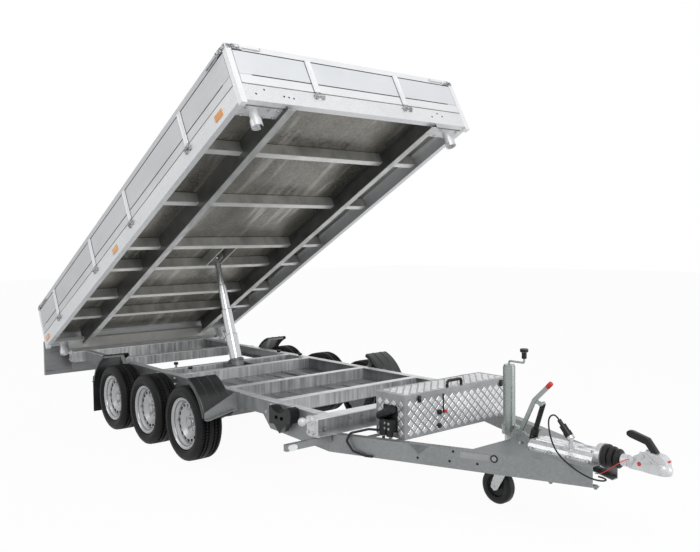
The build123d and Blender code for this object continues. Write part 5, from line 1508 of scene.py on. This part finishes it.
@dataclass
class DrawbarFittings:
    """Small pieces on the drawbar, the jack, the lever and the coupling, in millimetres."""

    finishes: Palette
    beam_start: float = 1990.0
    beam_run: tuple[float, float] = (1395.0, -558.0)
    beam_out: tuple[float, float] = (558.0, 1395.0)
    nose_up: float = 445.0
    crank: tuple[float, float] = (2836.0, 60.0)
    strut: tuple[float, float] = (2916.0, 421.0)
    strut_lean: float = 0.336

    def beam_place(self, along: float, up: float, side: Side) -> Matrix:
        """Give a place on the outer face of a tapered beam: X along it, Y up and Z out.

        Args:
            along: Millimetres ahead of the middle axle.
            up: Millimetres above the ground.
            side: The beam.

        Returns:
            The matrix.
        """
        run, inwards = self.beam_run
        across = RAIL_OUTER + inwards * (along - self.beam_start) / run
        out = Vector((self.beam_out[0], self.beam_out[1] * side.value, 0.0)).normalized()
        return upright(spot(along, side.value * across, up), out)

    def handles(self) -> None:
        """Cover knob, grip, gas strut and coupling handle in their own materials."""
        x, y = self.crank
        knob = Bench.soften(rod((x, y, 869), (x, y, 907), 14.2, 32), 0.002)
        ball = Bench.soften(rod((x, y, 904.5), (x, y, 926.5), 23.4, 36), 0.006, 4)
        strut = rod((2914.5, 24, 416), (2992, 24, 645), 14.2)
        rings = []
        for rise in (0, 13, 26, 39, 52, 65):
            x, z = self.strut[0] + self.strut_lean * rise, self.strut[1] + rise
            rings.append(rod((x, 24, z), (x + 3.8, 24, z + 11.5), 23.0, 32, 20.5))
        outline = [(3661, 508), (3639, 508), (3607, 547), (3525, 567), (3509, 575), (3507, 589),
                   (3519, 599), (3537, 598), (3621, 576), (3669, 515)]
        handle = Bench.plate("handle", [spot(x, -13.0, z) for x, z in outline], (0, 0.026, 0))
        with Bench.editing(handle):
            bpy.ops.transform.shrink_fatten(value=0.0014, use_even_offset=True)
        Bench.soften(handle, 0.0045, 4)
        boot = Bench.join("boot", [strut, *rings])
        Bench.give("handle_covers", [knob, ball, boot, handle], self.finishes["black_plastic"],
                   "black_plastic")
        grip = Bench.soften(rod((3036, -1, 742.5), (3062.5, -1, 768.5), 13.6, 32), 0.004, 3)
        Bench.give("lever_grip", [grip], self.finishes["signal_red"], "red_lens")

    def coupling(self) -> None:
        """Add the cheek bolts, the wear marks and the clamp ring."""
        places = [facing(spot(x, side * 34.2, z), (0, side, 0), 20.0)
                  for x, z in ((3609, 494), (3643, 466)) for side in (1, -1)]
        bolts = Bench.scatter("coupling_bolts", hex_bolt(8.0, 5.5), places)
        clamp = Bench.turned("clamp", [(0.0575, -0.004), (0.0615, -0.0035), (0.0615, 0.0035),
                                       (0.0575, 0.004), (0.0575, -0.004)], "X", 56)
        clamp.data.transform(Matrix.Translation(spot(3381.0, 0.0, self.nose_up)))
        Bench.give("coupling_metal", [bolts, clamp], self.finishes["bolt_zinc"], "zinc_plated")
        dot = rod((3588, -35.0, 452), (3588, -33.8, 452), 10.5, 32)
        mark = Bench.soften(slab((3719, -9, 481), (3728, 9, 489)), 0.0015)
        Bench.give("coupling_marks", [dot, mark], self.finishes["signal_red"], "red_lens")

    def beams(self) -> None:
        """Add dark discs that paint the shade in the beams' holes, and the blank plate, the badge,
        gussets and tabs.
        """
        hole = Bench.bar("hole", (0, 0, -0.0004), (0, 0, 0.0005), 0.0075, 20)
        places = [self.beam_place(x, z, side) for side in Side
                  for x, z in ((2513, 338), (2687, 343), (2833, 347), (2706, 398))]
        Bench.give("beam_holes", [Bench.scatter("holes", hole, places)],
                   self.finishes["soft_rubber"], "black_rubber")
        flat, badge = self.beam_place(2818, 386, Side.RIGHT), 0.108
        plate = Bench.block("plate", (-0.080, -0.0165, -0.0004), (0.080, 0.0165, 0.0014))
        Bench.soften(plate, 0.0008)
        disc = Bench.bar("disc", (badge, 0, -0.0004), (badge, 0, 0.0022), 0.013, 36)
        rim = Bench.bar("rim", (badge, 0, -0.0004), (badge, 0, 0.0016), 0.021, 40)
        for piece in (plate, disc, rim):
            piece.data.transform(flat)
        Bench.give("blank_badges", [plate, disc], self.finishes["blank_plate"], "dark_sheet")
        Bench.give("badge_rim", [rim], self.finishes["soft_rubber"], "black_rubber")
        gussets = []
        for side in Side:
            low = -side.value * 0.052
            outline = [(-low, 0.0, 0.0048), (low, 0.0, 0.0048), (0.0, -0.049, 0.0048)]
            gusset = Bench.plate("gusset", outline, (0, 0, 0.0016))
            gusset.data.transform(self.beam_place(2519, 411, side))
            gussets.append(gusset)
        Bench.give("beam_gussets", gussets, self.finishes["gusset_zinc"], "galvanised_steel")
        tabs = []
        for x, y, z in ((3169, -160, 304.5), (3372, -70, 304.5)):
            outline = ((x - 24, z), (x + 24, z), (x + 6, z - 22), (x - 6, z - 22))
            tabs.append(Bench.plate("tab", [spot(a, y, c) for a, c in outline], (0, 0.004, 0)))
        Bench.give("beam_tabs", tabs, self.finishes["chassis_zinc"], "galvanised_steel")

    def bolts(self) -> None:
        """Scatter the bolts of beams, jack, pivots, rails and mudguards."""
        places = []
        for side in (1, -1):
            out, web = (0, side, 0), side * (RAIL_OUTER + 0.2)
            places += [facing(spot(1935.2, side * y, 458), (1, 0, 0), 8.0) for y in (463, 370)]
            places += [facing(spot(x + dx, side * 796.2, 437), out, 10.0)
                       for x in PIVOTS_X for dx in (-20, 20)]
            places += [facing(spot(x, web, z), out, 22.0)
                       for x in (-1122, -248, 44, 780, 1388) for z in (440, 485)]
            places += [facing(spot(x, web, 432), out, 5.0)
                       for x in (1330, 1480, 1640, 1800, 1950)]
            places += [facing(spot(2800 + dx, 60 + side * 14.2, 430 + dx * 0.3), out, 5.0)
                       for dx in (0, 26)]
            places += [facing(spot(x, side * 30.0, 412.4), UP, 9.0) for x in (2874, 2932)]
            places += [facing(spot(x, side * 86.0, 417.2), UP, 9.0)
                       for x in (2990, 3105, 3220, 3335)]
        Bench.give("chassis_bolts", [Bench.scatter("bolts", hex_bolt(), places)],
                   self.finishes["bolt_zinc"], "zinc_plated")
        caps = []
        for x, y in ((-247.5, 510.0), (44.5, 535.0)):
            for side in (1, -1):
                cap = rod((x, side * y, 540.5), (x, side * y, 560.6), 17.8, 32)
                caps.append(Bench.soften(cap, 0.003, 3))
        Bench.give("stud_caps", caps, self.finishes["soft_rubber"], "black_rubber")

    def pump(self) -> None:
        """Add the motor's bands and the fittings' nuts."""
        start, end = Vector((2226.0, -487.0, 528.0)), Vector((2338.0, -487.0, 586.0))
        way = (end - start).normalized()
        bands = [rod(start + way * t, start + way * (t + 5), 26.3, 36) for t in (14, 60, 106)]
        nuts = [rod((2264, -491, 420), (2264, -491, 431), 13.5, 6),
                rod((2310, -479, 410), (2310, -479, 423), 12.5, 6)]
        plugs = [rod((x, -505.2, z), (x, -509.5, z), 8.0, 6)
                 for x in (2256, 2290, 2324) for z in (470, 500)]
        Bench.give("pump_bands", bands, self.finishes["black_plastic"], "black_plastic")
        Bench.give("pump_nuts", nuts + plugs, self.finishes["bolt_zinc"], "zinc_plated")

    def build(self) -> None:
        """Make every fitting."""
        self.handles()
        self.coupling()
        self.beams()
        self.bolts()
        self.pump()


# --------------------------------------------------------------------------- cords


class CordEnd(Enum):
    """What a cord ends in."""

    PLUG = "plug"
    OBJECT = "object"


@dataclass
class Cord:
    """A free cord on the chassis: its route in plan millimetres and its real size."""

    name: str
    node: str
    route: Sequence[Point]
    diameter: float
    end: CordEnd
    length: float
    finish: str
    slot: str

    def build(self, finishes: Palette, nodes: dict[str, bpy.types.Object]) -> None:
        """Lay the cord along its route as one smooth curve.

        Args:
            finishes: The palette.
            nodes: Not used.
        """
        route = [spot(*place) for place in self.route]
        obj = Bench.swept(self.name, route, self.diameter / 2, rounds=5, steps=10)
        obj.data.materials.append(finishes[self.finish])
        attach(obj, "chassis")
        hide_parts(self.node)
        log.info("cord %s laid", self.name)


CORDS = (
    Cord("trailer_lead", "trailer_cable",
         ((3385.0, -62.0, 350.0), (3414.0, -62.0, 350.0), (3446.0, -84.0, 351.0),
          (3450.0, -122.0, 354.0), (3420.0, -148.0, 359.0), (3374.0, -158.0, 370.0),
          (3326.0, -164.0, 389.0), (3278.0, -165.0, 412.0), (3232.0, -158.0, 434.0),
          (3188.0, -142.0, 459.0), (3146.0, -116.0, 491.0), (3110.0, -86.0, 530.0),
          (3088.0, -64.0, 566.0), (3085.0, -54.0, 596.0), (3104.0, -50.5, 613.9),
          (3128.3, -50.0, 611.3), (3144.3, -50.0, 592.8)),
         0.0085, CordEnd.PLUG, 0.667, "soft_rubber", "black_rubber"),
    Cord("breakaway_line", "breakaway_cable",
         ((3385.0, -92.0, 372.0), (3409.0, -92.0, 372.0), (3447.0, -77.0, 399.0),
          (3485.0, -60.0, 432.0), (3521.0, -42.0, 464.0), (3545.0, -42.0, 464.0)),
         0.004, CordEnd.OBJECT, 0.199, "signal_red", "red_cord"),
)


# --------------------------------------------------------------------------- studio


def seen_directly(tree: bpy.types.NodeTree) -> Socket:
    """Give 1 for rays from the camera or through gloss or glass, and 0 for the others.

    Args:
        tree: The nodes of a material or of the world.

    Returns:
        The share.
    """
    path = tree.nodes.new("ShaderNodeLightPath")
    seen = path.outputs["Is Camera Ray"]
    for other in ("Is Glossy Ray", "Is Transmission Ray"):
        either = tree.nodes.new("ShaderNodeMath")
        either.operation = "MAXIMUM"
        tree.links.new(seen, either.inputs[0])
        tree.links.new(path.outputs[other], either.inputs[1])
        seen = either.outputs[0]
    return seen


@dataclass
class Studio:
    """Pale floor and backdrop, soft lamps and the photograph's camera."""

    eye: Point = (5531.0, -3447.0, 1542.0)
    yaw: float = 140.238
    pitch: float = -2.619
    roll: float = -0.66
    focal: float = 773.49
    frame_width: float = 700.0
    sensor: float = 36.0
    floor_white: float = 0.955
    world_light: float = 0.46

    # Columns: name, place, target, width, watts
    LAMPS = (("key_lamp", (5.5, -3.0, 6.0), (0, 0, 0.8), 4.0, 250),
             ("side_lamp", (-3.0, -7.0, 4.0), (-0.5, 0, 0.9), 3.0, 60),
             ("low_lamp", (6.5, 2.5, 1.2), (0.0, 0, 1.0), 2.5, 65))

    def floor(self) -> None:
        """Lay the floor: white to the camera, and an even reflector for all other light."""
        Bench.rest()
        bpy.ops.mesh.primitive_plane_add(size=60.0, location=(0, 0, -0.0005))
        obj = bpy.context.active_object
        obj.name = "studio_floor"
        w = Wiring("floor_white")
        w.finish(Base_Color=(0.90, 0.90, 0.90, 1), Roughness=0.9)
        glow = w.add("ShaderNodeEmission", {"Color": (1, 1, 1, 1), "Strength": 1.0})
        share = w.count(seen_directly(w.tree), "MULTIPLY", self.floor_white)
        mix = w.add("ShaderNodeMixShader", {0: share, 1: w.surface.outputs[0],
                                            2: glow.outputs[0]})
        w.feed(w.output.inputs["Surface"], mix.outputs[0])
        obj.data.materials.append(w.material)

    def world(self) -> None:
        """Light the scene evenly, and show plain white behind it."""
        world = bpy.data.worlds.new("studio_world")
        bpy.context.scene.world = world
        world.use_nodes = True
        tree = world.node_tree
        tree.nodes.clear()
        mix = tree.nodes.new("ShaderNodeMixShader")
        tree.links.new(seen_directly(tree), mix.inputs[0])
        shades = (((0.95, 0.97, 1.0, 1), self.world_light), ((1, 1, 1, 1), 1.0))
        for number, (tint, strength) in enumerate(shades, start=1):
            light = tree.nodes.new("ShaderNodeBackground")
            light.inputs["Color"].default_value = tint
            light.inputs["Strength"].default_value = strength
            tree.links.new(light.outputs[0], mix.inputs[number])
        output = tree.nodes.new("ShaderNodeOutputWorld")
        tree.links.new(mix.outputs[0], output.inputs["Surface"])

    def lamps(self) -> None:
        """Hang the square soft lamps."""
        for name, place, target, size, watts in self.LAMPS:
            data = bpy.data.lights.new(name, "AREA")
            data.energy, data.size = watts, size
            obj = bpy.data.objects.new(name, data)
            obj.location = place
            aim = Vector(target) - Vector(place)
            obj.rotation_euler = aim.to_track_quat("-Z", "Y").to_euler()
            bpy.context.scene.collection.objects.link(obj)

    def camera(self) -> None:
        """Stand the camera where the photograph was taken."""
        yaw, pitch, roll = (math.radians(v) for v in (self.yaw, self.pitch, self.roll))
        ahead = Vector((math.cos(yaw) * math.cos(pitch), math.sin(yaw) * math.cos(pitch),
                        math.sin(pitch)))
        right = ahead.cross(UP).normalized()
        up = right.cross(ahead)
        right, up = (right * math.cos(roll) + up * math.sin(roll),
                     up * math.cos(roll) - right * math.sin(roll))
        data = bpy.data.cameras.new("photo_camera")
        data.sensor_width = self.sensor
        data.lens = self.focal / self.frame_width * self.sensor
        data.clip_start, data.clip_end = 0.1, 100.0
        obj = bpy.data.objects.new("photo_camera", data)
        turn = Matrix((right, up, -ahead)).transposed().to_4x4()
        obj.matrix_world = Matrix.Translation(spot(*self.eye)) @ turn
        bpy.context.scene.collection.objects.link(obj)
        bpy.context.scene.camera = obj

    def build(self) -> None:
        """Set up floor, world, lamps and camera."""
        self.floor()
        self.world()
        self.lamps()
        self.camera()
        bpy.context.scene.view_settings.view_transform = "Standard"


# --------------------------------------------------------------------------- whole


def main() -> None:
    """Dress the trailer from the wheels up and set the studio round it."""
    logging.basicConfig(level=logging.INFO, format="%(name)s: %(message)s")
    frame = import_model()
    finishes = Palette()
    finishes.make_all()
    dress_nodes(frame["nodes"], finishes)
    for cord in CORDS:
        cord.build(finishes, frame["nodes"])
    for group in (RoadWheels, BedHardware, TippingGear, Toolbox, DrawbarFittings):
        group(finishes).build()
    Studio().build()


if __name__ == "__main__":
    main()
